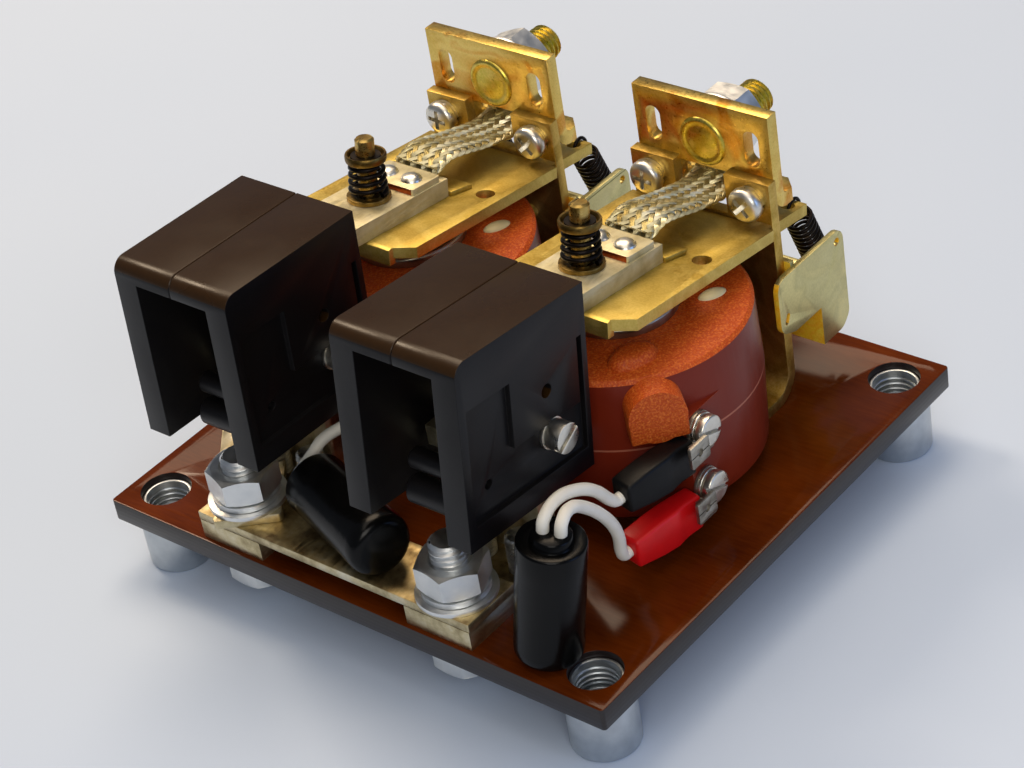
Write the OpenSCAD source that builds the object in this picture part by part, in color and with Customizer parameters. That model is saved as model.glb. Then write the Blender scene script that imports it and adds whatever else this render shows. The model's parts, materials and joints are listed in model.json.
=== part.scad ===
// Pair of single-pole clapper contactors on one insulating base board.
// Millimetres, +Z up, +X to the right, +Y to the back.
// The origin is the middle of the board, on the plane that the spacers stand on.
// Each unit is drawn about its own middle plane and moved sideways to its place.
// Armature and finger are drawn with the contacts closed, then swung open.

/* [Base board] */
// Width of the board
board_w = 130; // [126:1:160]
// Depth of the board
board_d = 120; // [118:1:150]
// Thickness of the board
board_t = 5; // [4:0.5:8]
// Fixing hole to side edge
hole_inset_x = 8; // [7.5:0.5:9]
// Fixing hole to front or back edge
hole_inset_y = 8.5; // [7.5:0.5:9]

/* [Spacers] */
// Height of a spacer under the board
spacer_h = 12.5; // [10:0.5:25]
// Outer diameter of a spacer
spacer_d = 14; // [13:0.5:15]
// Bore of a spacer
spacer_bore = 9; // [7:0.5:9.5]
// Diameter of the spigot in the board
spigot_d = 10.6; // [10.4:0.1:11.5]
// Depth of the spigot's top under the board's face
spigot_sink = 1.5; // [0.5:0.5:2.5]

/* [Unit layout] */
// Distance between the two units
unit_pitch = 55; // [55:0.5:57]
// Middle of the pair, right of the board's middle
pair_shift = -2.5; // [-4:0.5:0]
// Front bolt to the back face of the yoke
yoke_reach = 90; // [88:0.5:92]

/* [Yoke] */
// Width of the yoke strip
yoke_w = 34; // [32:0.5:36]
// Thickness of the yoke strip
yoke_t = 2.5; // [2:0.25:3]
// Inner radius of the yoke's bend
yoke_bend = 4.5; // [3:0.5:6]
// Height of the ears above the hinge line
ear_h = 12.7; // [11:0.1:15]
// Width of the gap between the ears
ear_gap = 12.4; // [11:0.2:13]

/* [Coil] */
// Largest diameter of the coil body, at the parting line
coil_d = 54; // [48:0.5:54]
// Height of the coil body
coil_h = 34.2; // [28:0.2:38]
// Depth of the parting line under the top
parting_drop = 15.7; // [10:0.1:20]
// Draft of each half on the radius
coil_draft = 0.6; // [0.2:0.1:1]
// Gap between the coil and the yoke's upright
coil_gap = 2.2; // [1.5:0.1:4]
// Diameter of the iron core
core_d = 14; // [10:0.5:18]
// Diameter of the pole disc
pole_d = 24; // [18:0.5:30]
// Thickness of the pole disc
pole_t = 2.3; // [1.5:0.1:3]
// Air gap left when the armature is closed
air_gap = 0.3; // [0.2:0.05:0.5]

/* [Armature] */
// Angle of the armature when open
open_angle = 8.2; // [6:0.1:9]
// Width of the armature plate
armature_w = 35; // [30:0.5:36]
// Thickness of the armature plate
armature_t = 2.5; // [2:0.1:3]
// Hinge line to the armature's front edge
armature_reach = 50.75; // [48:0.25:54]
// Sideways place of each tail and return spring
tail_x = 13.5; // [12:0.25:14]
// Width of each tail
tail_w = 5.4; // [4.5:0.1:6]
// Hinge line to the tail's end
tail_reach = 11.6; // [11:0.1:12.5]

/* [Contacts] */
// Thickness of the moving finger
finger_t = 4; // [3:0.25:5]
// Width of the moving finger
finger_w = 15; // [13:0.5:16]
// Hinge line to the finger's back end
finger_back = 25.25; // [22:0.25:28]
// Hinge line to the middle of the contact tips
contact_reach = 76.5; // [75:0.25:78]
// Finger beyond the middle of its tip
finger_nose = 4; // [3.5:0.25:5]
// Thickness of the moving tip
moving_tip_t = 2; // [1.5:0.1:2.5]
// Thickness of the fixed tip
fixed_tip_t = 1.5; // [1:0.1:2]
// Clearance between the tips before the finger lifts
tip_clear = 0.3; // [0.2:0.05:0.5]
// Length of each tip
tip_l = 5.5; // [4.5:0.5:5.5]

/* [Contact spring] */
// Hinge line to the post
post_reach = 41; // [38:0.25:43]
// Diameter of the post
post_d = 4; // [3:0.25:4.5]
// Height of the post above the armature
post_h = 17.5; // [15:0.5:20]
// Length of the spring between its washers
contact_spring_l = 7.3; // [6.5:0.1:8]
// Wire of the contact spring
contact_wire = 1; // [0.8:0.05:1]
// Mean diameter of the contact spring
contact_spring_d = 6.6; // [6.2:0.1:7]

/* [Return springs] */
// Wire of a return spring
return_wire = 0.8; // [0.6:0.05:0.9]
// Mean diameter of a return spring
return_spring_d = 5.4; // [4.8:0.1:6]
// Curls of a return spring
return_curls = 12; // [8:1:13]
// Drop from the hinge line to the anchor shelf's top
anchor_drop = 20.4; // [18:0.2:22]
// Hinge line to the middle of the anchor strip
anchor_reach = 19.2; // [18:0.2:21]

/* [Contact bar] */
// Width of the contact bar
bar_w = 16.4; // [14:0.2:16.6]
// Thickness of the contact bar
bar_t = 4.5; // [4:0.25:5]
// Front bolt to the board's front edge
bolt_inset = 8; // [7:0.25:9]
// Length of the foot in front of the bolt
foot_lead = 7; // [6:0.25:7]
// Bolt to the pair of clamp screws
clamp_back = 13.75; // [13.5:0.25:14]
// Sideways place of each clamp screw
clamp_x = 5.2; // [5.1:0.1:5.2]

/* [Arc chute] */
// Width of a chute
chute_w = 30; // [28:0.5:32]
// Chute in front of its screw
chute_front = 26; // [24:0.5:27]
// Chute behind its screw
chute_rear = 10.6; // [10:0.1:11.5]
// Chute above its screw
chute_up = 27.3; // [27:0.1:30]
// Chute below its screw
chute_down = 12.3; // [10:0.1:13]
// Thickness of the side walls
chute_wall = 5.6; // [5:0.1:6]
// Thickness of the top wall
chute_roof = 4.2; // [3:0.1:4.6]
// Tilt of the left chute
tilt_1 = 2.5; // [0:0.5:4]
// Tilt of the right chute
tilt_2 = 6.5; // [4:0.5:7]

/* [Terminal plate] */
// Width of the terminal plate
plate_w = 33; // [31:0.5:34]
// Thickness of the terminal plate
plate_t = 3; // [2:0.25:4]
// Height of the plate above the ears
plate_up = 14; // [12:0.5:18]
// Height of the stud above the ears
stud_up = 4.6; // [4.2:0.1:6]

/* [Hardware] */
// Main bolts and studs
bolt_d = 8; // [6:0.5:8]
// Width across flats of the main nuts
nut_af = 13; // [12:0.5:13]
// Height of the main nuts
nut_h = 6; // [5:0.25:6.8]
// Outer diameter of the main washers
washer_d = 16.5; // [15:0.5:17]
// Thickness of a flat washer
washer_t = 1; // [0.8:0.1:1.6]
// Thickness of a spring washer
lock_t = 1.5; // [1:0.1:2]
// Clamp and core screws
clamp_d = 6; // [5:0.5:6]
// Screws through the ears
ear_screw_d = 4; // [3:0.25:4]

/* [Suppressors and leads] */
// Diameter of a suppressor
suppressor_d = 13.6; // [12:0.2:14]
// Length of a suppressor
suppressor_l = 29.5; // [24:0.5:30]
// Diameter of a lead
lead_d = 2.5; // [1.8:0.1:2.8]

/* [Hidden] */
$fn = 64;

// Clearances shared by the fits.
fit = 0.1;
run = 0.5;

// Heights, from the board up.
top_z = spacer_h + board_t;
coil_z = top_z + yoke_t;
coil_top = coil_z + coil_h;
hinge_z = coil_top + pole_t + air_gap;
armature_top = hinge_z + armature_t;
finger_top = armature_top + finger_t;
arm_top = armature_top - moving_tip_t - tip_clear - fixed_tip_t;
ear_top = hinge_z + ear_h;

// Depths, from the front bolt back, then forward again.
bolt_y = -board_d / 2 + bolt_inset;
yoke_y = bolt_y + yoke_reach;
yoke_front = yoke_y - yoke_t;
hinge_y = yoke_y - yoke_t / 2;
coil_y = yoke_front - coil_gap - coil_d / 2;
tip_y = hinge_y - contact_reach;
post_y = hinge_y - post_reach;
finger_back_y = hinge_y - finger_back;
finger_nose_y = tip_y - finger_nose;
clamp_y = bolt_y + clamp_back;

// The riser of a contact bar stands behind the tips and carries the chute's screw.
riser_gap = 4.75;
knuckle_r = 3.4;
riser_y = tip_y + riser_gap;
knuckle_proud = 1.95;
chute_y = riser_y + knuckle_r - knuckle_proud;
chute_screw_d = 4;
chute_z = arm_top - 1;

// Middle plane of each unit.
function unit_x(n) = pair_shift + (n == 1 ? -1 : 1) * unit_pitch / 2;

// Swings pieces that ride on the armature from closed to open.
module swung_open() {
    translate([0, hinge_y, hinge_z])
        rotate([-open_angle, 0, 0])
            translate([0, -hinge_y, -hinge_z])
                children();
}

// Turns a chute about its screw.
module tilted(angle) {
    translate([0, chute_y, chute_z])
        rotate([-angle, 0, 0])
            children();
}

// Puts a drawing in the YZ plane and gives it a width about the middle plane.
module across(width) {
    rotate([90, 0, 90])
        linear_extrude(width, center = true)
            children();
}

// Puts a drawing in the XZ plane and gives it a depth that starts at Y = 0 and runs back.
module backward(depth) {
    translate([0, depth, 0])
        rotate([90, 0, 0])
            linear_extrude(depth)
                children();
}

// Cylinder along X.
module bar_x(d, l) {
    rotate([0, 90, 0])
        cylinder(d = d, h = l, center = true);
}

// Cylinder that starts at Y = 0 and runs back.
module rod_back(d, l) {
    rotate([-90, 0, 0])
        cylinder(d = d, h = l);
}

// Rectangle with round corners, about its middle.
module round_rect(w, h, r) {
    square([w - 2 * r, h], center = true);
    square([w, h - 2 * r], center = true);
    for (x = [-1, 1], y = [-1, 1])
        translate([x * (w / 2 - r), y * (h / 2 - r)])
            circle(r = r);
}

// Upright slot, about its middle.
module slot(w, h) {
    square([w, h - w], center = true);
    for (y = [-1, 1])
        translate([0, y * (h - w) / 2])
            circle(d = w);
}

// Quarter of a bent strip, its centre at the origin, in the quadrant given by signs.
module bend(r_in, t, sx, sy) {
    intersection() {
        difference() {
            circle(r = r_in + t);
            circle(r = r_in);
        }
        translate([sx > 0 ? 0 : -r_in - t, sy > 0 ? 0 : -r_in - t])
            square(r_in + t);
    }
}

// Hexagonal prism along Z with chamfered corners.
module hexagon(af, h, both = true) {
    intersection() {
        cylinder(d = af / cos(30), h = h, $fn = 6);
        rotate_extrude()
            polygon([[0, 0], [both ? af * 0.48 : af / 2 + 1.2, 0],
                [af / 2 + 1.2, both ? 1.2 : 0], [af / 2 + 1.2, h - 1.2],
                [af * 0.48, h], [0, h]]);
    }
}

// Nut along Z with a bore that its bolt fills.
module nut(af, h, bore) {
    difference() {
        hexagon(af, h);
        translate([0, 0, -1])
            cylinder(d = bore + 2 * fit, h = h + 2);
    }
}

module ring(d, bore, h) {
    difference() {
        cylinder(d = d, h = h);
        translate([0, 0, -1])
            cylinder(d = bore, h = h + 2);
    }
}

// Spring washer: a ring with a slanted cut.
module lock_ring(d, bore, h) {
    difference() {
        ring(d, bore, h);
        translate([0, d / 2, h / 2])
            rotate([0, 25, 0])
                cube([0.8, d, 4 * h], center = true);
    }
}

// Bolt along Z: head below the origin, shank up from it with a chamfered end.
module bolt_up(d, l, head_af, head_h) {
    translate([0, 0, -head_h])
        hexagon(head_af, head_h);
    rotate_extrude()
        polygon([[0, 0], [d / 2, 0], [d / 2, l - d / 10], [d * 0.4, l], [0, l]]);
}

// Socket cap screw along Z: head below the origin, shank up from it.
module cap_screw_up(d, l) {
    difference() {
        translate([0, 0, -d * 0.8])
            rotate_extrude()
                polygon([[0, 0], [d * 0.76, 0], [d * 0.82, d * 0.08], [d * 0.82, d * 0.8],
                    [0, d * 0.8]]);
        translate([0, 0, -d * 0.9])
            cylinder(d = d * 0.95, h = d * 0.5, $fn = 6);
    }
    rotate_extrude()
        polygon([[0, 0], [d / 2, 0], [d / 2, l - d / 10], [d * 0.4, l], [0, l]]);
}

// Pan head facing down the Z axis, its seat at the origin, with a cross recess.
module pan_head(d, h) {
    difference() {
        rotate_extrude()
            polygon([[0, 0], [d / 2, 0], [d / 2, -h * 0.35], [d * 0.46, -h * 0.62],
                [d * 0.36, -h * 0.86], [d * 0.22, -h], [0, -h]]);
        for (a = [0, 90])
            rotate([0, 0, a])
                translate([0, 0, -h])
                    cube([d * 0.52, d * 0.14, h], center = true);
    }
}

// Wire and cord forms.

function unit(v) = v / norm(v);
function tangent(p, i) =
    unit(p[min(i + 1, len(p) - 1)] - p[max(i - 1, 0)]);
function first_side(t) = unit(cross(t, abs(t[2]) < 0.9 ? [0, 0, 1] : [1, 0, 0]));
function flat_to(v, t) = unit(v - (v * t) * t);
function sides_along(p) =
    [for (i = 0, s = first_side(tangent(p, 0)); i < len(p);
        i = i + 1, s = flat_to(s, tangent(p, min(i, len(p) - 1)))) s];

// One unbroken tube along the points, closed with flat ends.
module tube(p, d, faces) {
    side = sides_along(p);
    n = len(p);
    rings = [for (i = [0:n - 1], k = [0:faces - 1])
        let (t = tangent(p, i), a = 360 * k / faces)
            p[i] + d / 2 * (cos(a) * side[i] + sin(a) * cross(t, side[i]))];
    skin = [for (i = [0:n - 2], k = [0:faces - 1])
        let (a = i * faces + k, b = i * faces + (k + 1) % faces)
            each [[a, a + faces, b], [b, a + faces, b + faces]]];
    start = [for (k = [1:faces - 2]) [0, k, k + 1]];
    finish = [for (k = [1:faces - 2])
        [(n - 1) * faces, (n - 1) * faces + k + 1, (n - 1) * faces + k]];
    polyhedron(points = rings, faces = concat(start, skin, finish));
}

// Least distance between points that lie at least one curl apart along the wire.
function least_gap(p, apart, wire) =
    min([for (i = [0:len(p) - 1 - apart], j = [i + apart:len(p) - 1])
        norm(p[i] - p[j])]) - wire;

curl_rings = 8;

// Compression spring: closed end curls, slightly wider at the foot.
contact_curls = 4;
function contact_spring_path() =
    let (rise = contact_spring_l - contact_wire, steps = contact_curls * curl_rings)
        [for (i = [0:steps])
            let (f = i / steps, a = 360 * contact_curls * f,
                r = contact_spring_d / 2 + 0.4 * (1 - f))
                [r * cos(a), r * sin(a), contact_wire / 2 + rise * f]];

// Extension spring: a loop at each end, over the middle, in one plane.
loop_r = 1.9;
loop_sweep = 285;
loop_steps = 8;
spiral_rise = 1.3;
spiral_steps = 4;
function loop_at(z, up) =
    [for (i = [0:loop_steps])
        let (a = loop_sweep * i / loop_steps)
            [loop_r * sin(a), 0, z + up * loop_r * (1 - cos(a))]];
function spiral_at(z, up) =
    [for (i = [1:spiral_steps - 1])
        let (f = i / spiral_steps, a = 180 * f, r = return_spring_d / 2 * cos(90 * f))
            [r * cos(a), up * r * sin(a), z + up * spiral_rise * f]];
function backwards(p) = [for (i = [len(p) - 1:-1:0]) p[i]];
function return_spring_path(l) =
    let (body = l - 2 * loop_r - 2 * spiral_rise,
        z0 = loop_r + spiral_rise, z1 = z0 + body,
        steps = return_curls * curl_rings)
        concat(
            backwards(loop_at(loop_r, -1)),
            backwards(spiral_at(z0, -1)),
            [for (i = [0:steps])
                let (f = i / steps, a = 360 * return_curls * f)
                    [return_spring_d / 2 * cos(a), return_spring_d / 2 * sin(a),
                        z0 + body * f]],
            spiral_at(z1, 1),
            loop_at(z1 + spiral_rise, 1));

// Base board and its feet.

corner_x = board_w / 2 - hole_inset_x;
corner_y = board_d / 2 - hole_inset_y;

module at_corners() {
    for (x = [-1, 1], y = [-1, 1])
        translate([x * corner_x, y * corner_y, 0])
            children();
}

module base_board() {
    color("#7a3a10")
        difference() {
            translate([0, 0, spacer_h])
                linear_extrude(board_t)
                    round_rect(board_w, board_d, 0.8);
            at_corners()
                translate([0, 0, spacer_h - 1])
                    cylinder(d = spigot_d + 2 * fit, h = board_t + 2);
            for (n = [1, 2])
                translate([unit_x(n), 0, spacer_h - 1]) {
                    translate([0, bolt_y, 0])
                        cylinder(d = bolt_d + 2 * fit, h = board_t + 2);
                    for (x = [-1, 1])
                        translate([x * clamp_x, clamp_y, 0])
                            cylinder(d = clamp_d + 2 * fit, h = board_t + 2);
                    translate([0, coil_y, 0])
                        cylinder(d = clamp_d + 2 * fit, h = board_t + 2);
                }
        }
}

module spacers() {
    color("#a0a6aa")
        at_corners()
            difference() {
                union() {
                    rotate_extrude()
                        polygon([[0, 0], [spacer_d / 2 - 0.6, 0], [spacer_d / 2, 0.6],
                            [spacer_d / 2, spacer_h], [0, spacer_h]]);
                    translate([0, 0, spacer_h])
                        cylinder(d = spigot_d, h = board_t - spigot_sink);
                }
                translate([0, 0, -1])
                    cylinder(d = spacer_bore, h = spacer_h + board_t + 2);
            }
}

// Front terminals.

link_t = 2;
link_d = 14;
link_end = 8.4;
strap_t = 2;
strap_w = 14;
strap_l = 32;
strap_lead = 7;
strap_hole = 5;
strap_turn = 40;
bar_top = top_z + bar_t;
link_top = bar_top + link_t;
bolt_tip = 4.5;
bolt_head_h = 5.3;

// Top of what lies under the washers of each front terminal.
function stack_top(n) = link_top + (n == 1 ? strap_t : 0);
bolt_end_z = link_top + washer_t + lock_t + nut_h + bolt_tip;

module terminal_bolts() {
    color("#c4c8cb")
        for (n = [1, 2])
            translate([unit_x(n), bolt_y, spacer_h])
                bolt_up(bolt_d, bolt_end_z - spacer_h, nut_af, bolt_head_h);
}

module terminal_washers() {
    color("#cfd2d4")
        for (n = [1, 2])
            translate([unit_x(n), 0, 0]) {
                translate([0, bolt_y, stack_top(n)])
                    ring(washer_d, bolt_d + 2 * fit, washer_t);
                translate([0, yoke_y + plate_t + braid_end_t, stud_z])
                    rotate([-90, 0, 0])
                        ring(washer_d - 1, bolt_d + 2 * fit, washer_t);
            }
}

module spring_washers() {
    color("#b4b8bb")
        for (n = [1, 2])
            translate([unit_x(n), bolt_y, stack_top(n) + washer_t])
                lock_ring(washer_d - 2.5, bolt_d + 2 * fit, lock_t);
}

module terminal_nuts() {
    color("#c9cdd0")
        for (n = [1, 2])
            translate([unit_x(n), bolt_y, stack_top(n) + washer_t + lock_t])
                rotate([0, 0, n == 1 ? 12 : 22])
                    nut(nut_af, nut_h, bolt_d);
}

// Flat link that joins the two fixed contacts.
module link_bar() {
    color("#b5a06a")
        difference() {
            translate([unit_x(1) - link_end, -board_d / 2 + 1, bar_top])
                cube([unit_pitch + 2 * link_end, link_d, link_t]);
            for (n = [1, 2])
                translate([unit_x(n), bolt_y, bar_top - 1])
                    cylinder(d = bolt_d + 2 * fit, h = link_t + 2);
        }
}

// Strap that leaves the left terminal at a slant.
module side_strap() {
    color("#c2ab6c")
        translate([unit_x(1), bolt_y, link_top])
            difference() {
                rotate([0, 0, strap_turn])
                    difference() {
                        translate([0, strap_l / 2 - strap_lead, 0])
                            linear_extrude(strap_t)
                                round_rect(strap_w, strap_l, 1);
                        translate([-1.5, strap_l - 2 * strap_lead, -1])
                            cylinder(d = strap_hole, h = strap_t + 2);
                    }
                translate([0, 0, -1])
                    cylinder(d = bolt_d + 2 * fit, h = strap_t + 2);
                translate([-clamp_x, clamp_back, -1])
                    cylinder(d = clamp_d + 2 * run, h = strap_t + 2);
                translate([-bar_w / 2 - run, riser_y - run - bolt_y, -1])
                    cube([bar_w, strap_l, strap_t + 2]);
            }
}

// Foot, riser, knuckle and arm of a fixed contact, seen from the side.
riser_bend = 1.5;
arm_nose = 1.5;
module contact_bar_outline() {
    front = bolt_y - foot_lead;
    bend_y = riser_y - riser_bend;
    low = top_z + bar_t + riser_bend;
    arm_front = tip_y - tip_l / 2 - arm_nose;
    translate([front, top_z])
        square([bend_y - front, bar_t]);
    translate([bend_y, low])
        bend(riser_bend, bar_t, 1, -1);
    translate([riser_y, low])
        square([bar_t, chute_z - low]);
    translate([chute_y, chute_z])
        circle(r = knuckle_r);
    translate([arm_front, arm_top - bar_t])
        square([chute_y - arm_front, bar_t]);
}

module contact_bar() {
    color("#b08d5a")
        difference() {
            across(bar_w)
                contact_bar_outline();
            translate([0, bolt_y, top_z - 1])
                cylinder(d = bolt_d + 2 * fit, h = bar_t + 2);
            for (x = [-1, 1])
                translate([x * clamp_x, clamp_y, top_z - 1])
                    cylinder(d = clamp_d + 2 * fit, h = bar_t + 2);
            translate([0, chute_y, chute_z])
                bar_x(chute_screw_d + 2 * fit, bar_w + 2);
        }
}

module fixed_tips() {
    color("#c9c4b6")
        for (n = [1, 2])
            translate([unit_x(n), tip_y, arm_top])
                linear_extrude(fixed_tip_t)
                    round_rect(finger_w - 3, tip_l, 0.8);
}

// Screws from below, tapped into the contact bar, their ends standing proud.
clamp_end_z = bar_top + 8;
module clamp_screws() {
    color("#a98a5c")
        for (n = [1, 2], x = [-1, 1])
            translate([unit_x(n) + x * clamp_x, clamp_y, spacer_h])
                cap_screw_up(clamp_d, clamp_end_z - spacer_h);
}

// Yoke, coil and core.

window_low = run;
window_high = 1;
foot_front = 19;

// The upright with its ears, seen from behind.
module upright_outline() {
    low = top_z + yoke_t + yoke_bend;
    difference() {
        translate([-yoke_w / 2, low])
            square([yoke_w, ear_top - low]);
        translate([-ear_gap / 2, armature_top + window_high])
            square([ear_gap, ear_h]);
        for (x = [-1, 1])
            translate([x * tail_x - tail_w / 2 - run, hinge_z - window_low])
                square([tail_w + 2 * run, armature_t + window_low + window_high]);
    }
}

ear_screw_x = 12.2;
ear_screw_z = ear_top - 4.6;
bracket_screw_z = hinge_z - 11;
bracket_screw_x = 8;

module yoke() {
    color("#b8a24e")
        difference() {
            union() {
                across(yoke_w) {
                    translate([coil_y - foot_front, top_z])
                        square([yoke_y - yoke_t - yoke_bend - coil_y + foot_front, yoke_t]);
                    translate([yoke_y - yoke_t - yoke_bend, top_z + yoke_t + yoke_bend])
                        bend(yoke_bend, yoke_t, 1, -1);
                }
                translate([0, yoke_front, 0])
                    backward(yoke_t)
                        upright_outline();
            }
            translate([0, coil_y, top_z - 1])
                cylinder(d = clamp_d + 2 * fit, h = yoke_t + 2);
            for (x = [-1, 1]) {
                translate([x * ear_screw_x, yoke_front - 1, ear_screw_z])
                    rod_back(ear_screw_d + 2 * fit, yoke_t + 2);
                translate([x * bracket_screw_x, yoke_front - 1, bracket_screw_z])
                    rod_back(3 + 2 * fit, yoke_t + 2);
            }
        }
}

spout_d = 11.6;
spout_turn = -41;
spout_reach = 31.5;
pad_x = 26.3;
pad_back = -3;
pad_l = 12.9;
pad_low = 3;
pad_high = 25.5;
tab_up = [22, 8.5];
tab_inset = 3;
tab_screw_d = 3;
foot_chamfer = 1.8;

// Moulded coil: two halves with draft, a lead spout and a flat terminal pad.
module coil() {
    r = coil_d / 2;
    mid = coil_h - parting_drop;
    color("#7c3324")
        difference() {
            union() {
                translate([0, coil_y, coil_z])
                    rotate_extrude($fn = 128)
                        polygon([[0, 0], [r - coil_draft - foot_chamfer, 0],
                            [r - coil_draft, foot_chamfer], [r, mid],
                            [r - coil_draft, coil_h - 0.8], [r - coil_draft - 0.8, coil_h],
                            [0, coil_h]]);
                translate([0, coil_y, coil_top - spout_d / 2 - 0.1])
                    rotate([0, 0, spout_turn])
                        translate([spout_reach - 15, 0, 0])
                            rotate([0, 90, 0])
                                cylinder(d = spout_d, h = 15);
                translate([r * 0.5, coil_y + pad_back - pad_l, coil_z + pad_low])
                    cube([pad_x - r * 0.5, pad_l, pad_high - pad_low]);
                translate([-9, coil_y - r + 5, coil_top - 1])
                    linear_extrude(2.2)
                        round_rect(9, 5, 1.5);
            }
            translate([0, coil_y, coil_z - 1])
                cylinder(d = core_d + 2 * fit, h = coil_h + 2);
            for (z = tab_up)
                translate([pad_x - 6, tab_y, coil_z + z])
                    rotate([0, 90, 0])
                        cylinder(d = tab_screw_d + 2 * fit, h = 8);
        }
}

// Core with its pole disc, tapped from below for the core screw.
module core() {
    color("#a8a9a2")
        difference() {
            translate([0, coil_y, coil_z])
                rotate_extrude()
                    polygon([[0, 0], [core_d / 2, 0], [core_d / 2, coil_h],
                        [pole_d / 2, coil_h], [pole_d / 2, coil_h + pole_t - 0.5],
                        [pole_d / 2 - 0.5, coil_h + pole_t], [0, coil_h + pole_t]]);
            translate([0, coil_y, coil_z - 1])
                cylinder(d = clamp_d + 2 * fit, h = core_screw_depth + 3);
        }
}

core_screw_depth = 12;
module core_screws() {
    color("#9a9c9c")
        for (n = [1, 2])
            translate([unit_x(n), coil_y, spacer_h])
                cap_screw_up(clamp_d, board_t + yoke_t + core_screw_depth);
}

// Arc chute.

chute_len = chute_front + chute_rear;
roof_round = 3;

// Side view of a chute, about its screw.
module chute_side() {
    difference() {
        translate([-chute_front, -chute_down])
            square([chute_len, chute_up + chute_down]);
        translate([-chute_front, chute_up - roof_round])
            difference() {
                translate([-1, 0])
                    square([roof_round + 1, roof_round + 1]);
                translate([roof_round, 0])
                    circle(r = roof_round);
            }
    }
}

recess_t = 1.2;
recess_front = 23.8;
recess_back = 9.1;
recess_top = 16.8;
recess_low = -7.6;
pad_face_w = 19.5;
pad_face_h = 13.8;
pad_face_y = -2;
pad_hole = [-1.7, 10.2];

// Round posts that stand on the right wall's inner face, one above the other.
post_tip_x = -4.6;
post_end = 0.8;
post_place = [[-18.3, -1.6, 4.4], [-18.9, -8, 6]];
module chute_posts() {
    root_x = chute_w / 2 - chute_wall;
    for (p = post_place)
        translate([post_tip_x, p[0], p[1]])
            rotate([0, 90, 0])
                rotate_extrude()
                    polygon([[0, 0], [p[2] / 2 - post_end, 0], [p[2] / 2, post_end],
                        [p[2] / 2, root_x - post_tip_x], [0, root_x - post_tip_x]]);
}

// One half of a chute, with a recess that leaves a raised pad on its outer face,
// and a spot face round the screw.
module chute_half(side) {
    color("#1b1a1c") {
        if (side > 0)
            chute_posts();
        difference() {
            translate([side * chute_w / 4, 0, 0])
                across(chute_w / 2)
                    chute_side();
            translate([side * (chute_w / 4 - chute_wall / 2 - 0.5), 0, 0])
                across(chute_w / 2 - chute_wall + 1)
                    translate([-chute_front - 1, -chute_down - 1])
                        square([chute_len + 2, chute_up - chute_roof + chute_down + 1]);
            translate([side * chute_w / 2, 0, 0])
                across(2 * recess_t)
                    difference() {
                        translate([-recess_front, recess_low])
                            square([recess_front + recess_back, recess_top - recess_low]);
                        translate([pad_face_y - pad_face_w / 2, recess_top - pad_face_h])
                            square([pad_face_w, pad_face_h + 1]);
                    }
            translate([side * chute_w / 2, pad_hole[0], pad_hole[1]])
                bar_x(2.8, 4);
            translate([side * chute_w / 2, post_place[0][0], post_place[0][1]])
                bar_x(2, 5);
            translate([side * chute_w / 2, 0, 0]) {
                bar_x(chute_screw_d + 2 * fit, chute_w);
                bar_x(side > 0 ? head_spot_d : nut_spot_d, 2 * recess_t);
            }
        }
    }
}

// Clamping screw through both halves and the riser, with its washers and nut.
cheese_d = 6.2;
cheese_h = 2.6;
chute_washer_d = 6.6;
chute_washer_t = 0.6;
chute_lock_d = 6;
chute_lock_t = 0.9;
chute_nut_af = 7;
chute_nut_h = 3.2;
head_spot_d = chute_washer_d + 0.6;
nut_spot_d = chute_nut_af / cos(30) + 0.7;
module chute_screw() {
    seat = chute_w / 2 - recess_t;
    head = seat + chute_washer_t + chute_lock_t;
    rotate([0, 90, 0]) {
        translate([0, 0, -seat - chute_nut_h - 1])
            cylinder(d = chute_screw_d, h = head + seat + chute_nut_h + 1);
        difference() {
            translate([0, 0, head])
                cylinder(d = cheese_d, h = cheese_h);
            translate([0, 0, head + cheese_h])
                rotate([0, 0, 35])
                    cube([1, cheese_d + 1, 2.4], center = true);
        }
        translate([0, 0, seat])
            ring(chute_washer_d, chute_screw_d + 2 * fit, chute_washer_t);
        translate([0, 0, seat + chute_washer_t])
            lock_ring(chute_lock_d, chute_screw_d + 2 * fit, chute_lock_t);
        translate([0, 0, -seat - chute_nut_h])
            nut(chute_nut_af, chute_nut_h, chute_screw_d);
    }
}

module chute_screws() {
    color("#b9bcbe")
        for (n = [1, 2])
            translate([unit_x(n), 0, 0])
                tilted(n == 1 ? tilt_1 : tilt_2)
                    chute_screw();
}

// Terminal plate and the parts behind the yoke.

leg_low = armature_top + 2.2;
leg_back = 8.4;
leg_cut = 2.6;
fold_r = 1;
stud_z = ear_top + stud_up;
slot_w = 3.6;
slot_h = 8;
slot_x = 12;

// Side view of the plate: upright, with its lower end folded back.
module plate_side() {
    top = ear_top + plate_up;
    fold_z = leg_low + plate_t + fold_r;
    translate([0, fold_z])
        square([plate_t, top - fold_z]);
    translate([plate_t + fold_r, fold_z])
        bend(fold_r, plate_t, -1, -1);
    translate([plate_t + fold_r, leg_low])
        square([leg_back - plate_t - fold_r, plate_t]);
}

module terminal_plate() {
    color("#cda32a")
        translate([0, yoke_y, 0])
            difference() {
                across(plate_w)
                    plate_side();
                translate([-ear_gap / 2, -1, leg_low - 1])
                    cube([ear_gap, leg_back + 2, ear_top - 1.2 - leg_low + 1]);
                translate([0, -1, stud_z])
                    rod_back(bolt_d + 2 * fit, plate_t + 2);
                for (x = [-1, 1]) {
                    translate([x * slot_x, -1, stud_z + 1.2])
                        backward(plate_t + 2)
                            slot(slot_w, slot_h);
                    translate([x * ear_screw_x, -1, ear_screw_z])
                        rod_back(ear_screw_d + 2 * fit, plate_t + 2);
                    translate([x * plate_w / 2, leg_back, leg_low - 1])
                        rotate([0, 0, 45])
                            cube([leg_cut * sqrt(2), leg_cut * sqrt(2), 4 * plate_t],
                                center = true);
                }
            }
}

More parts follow.
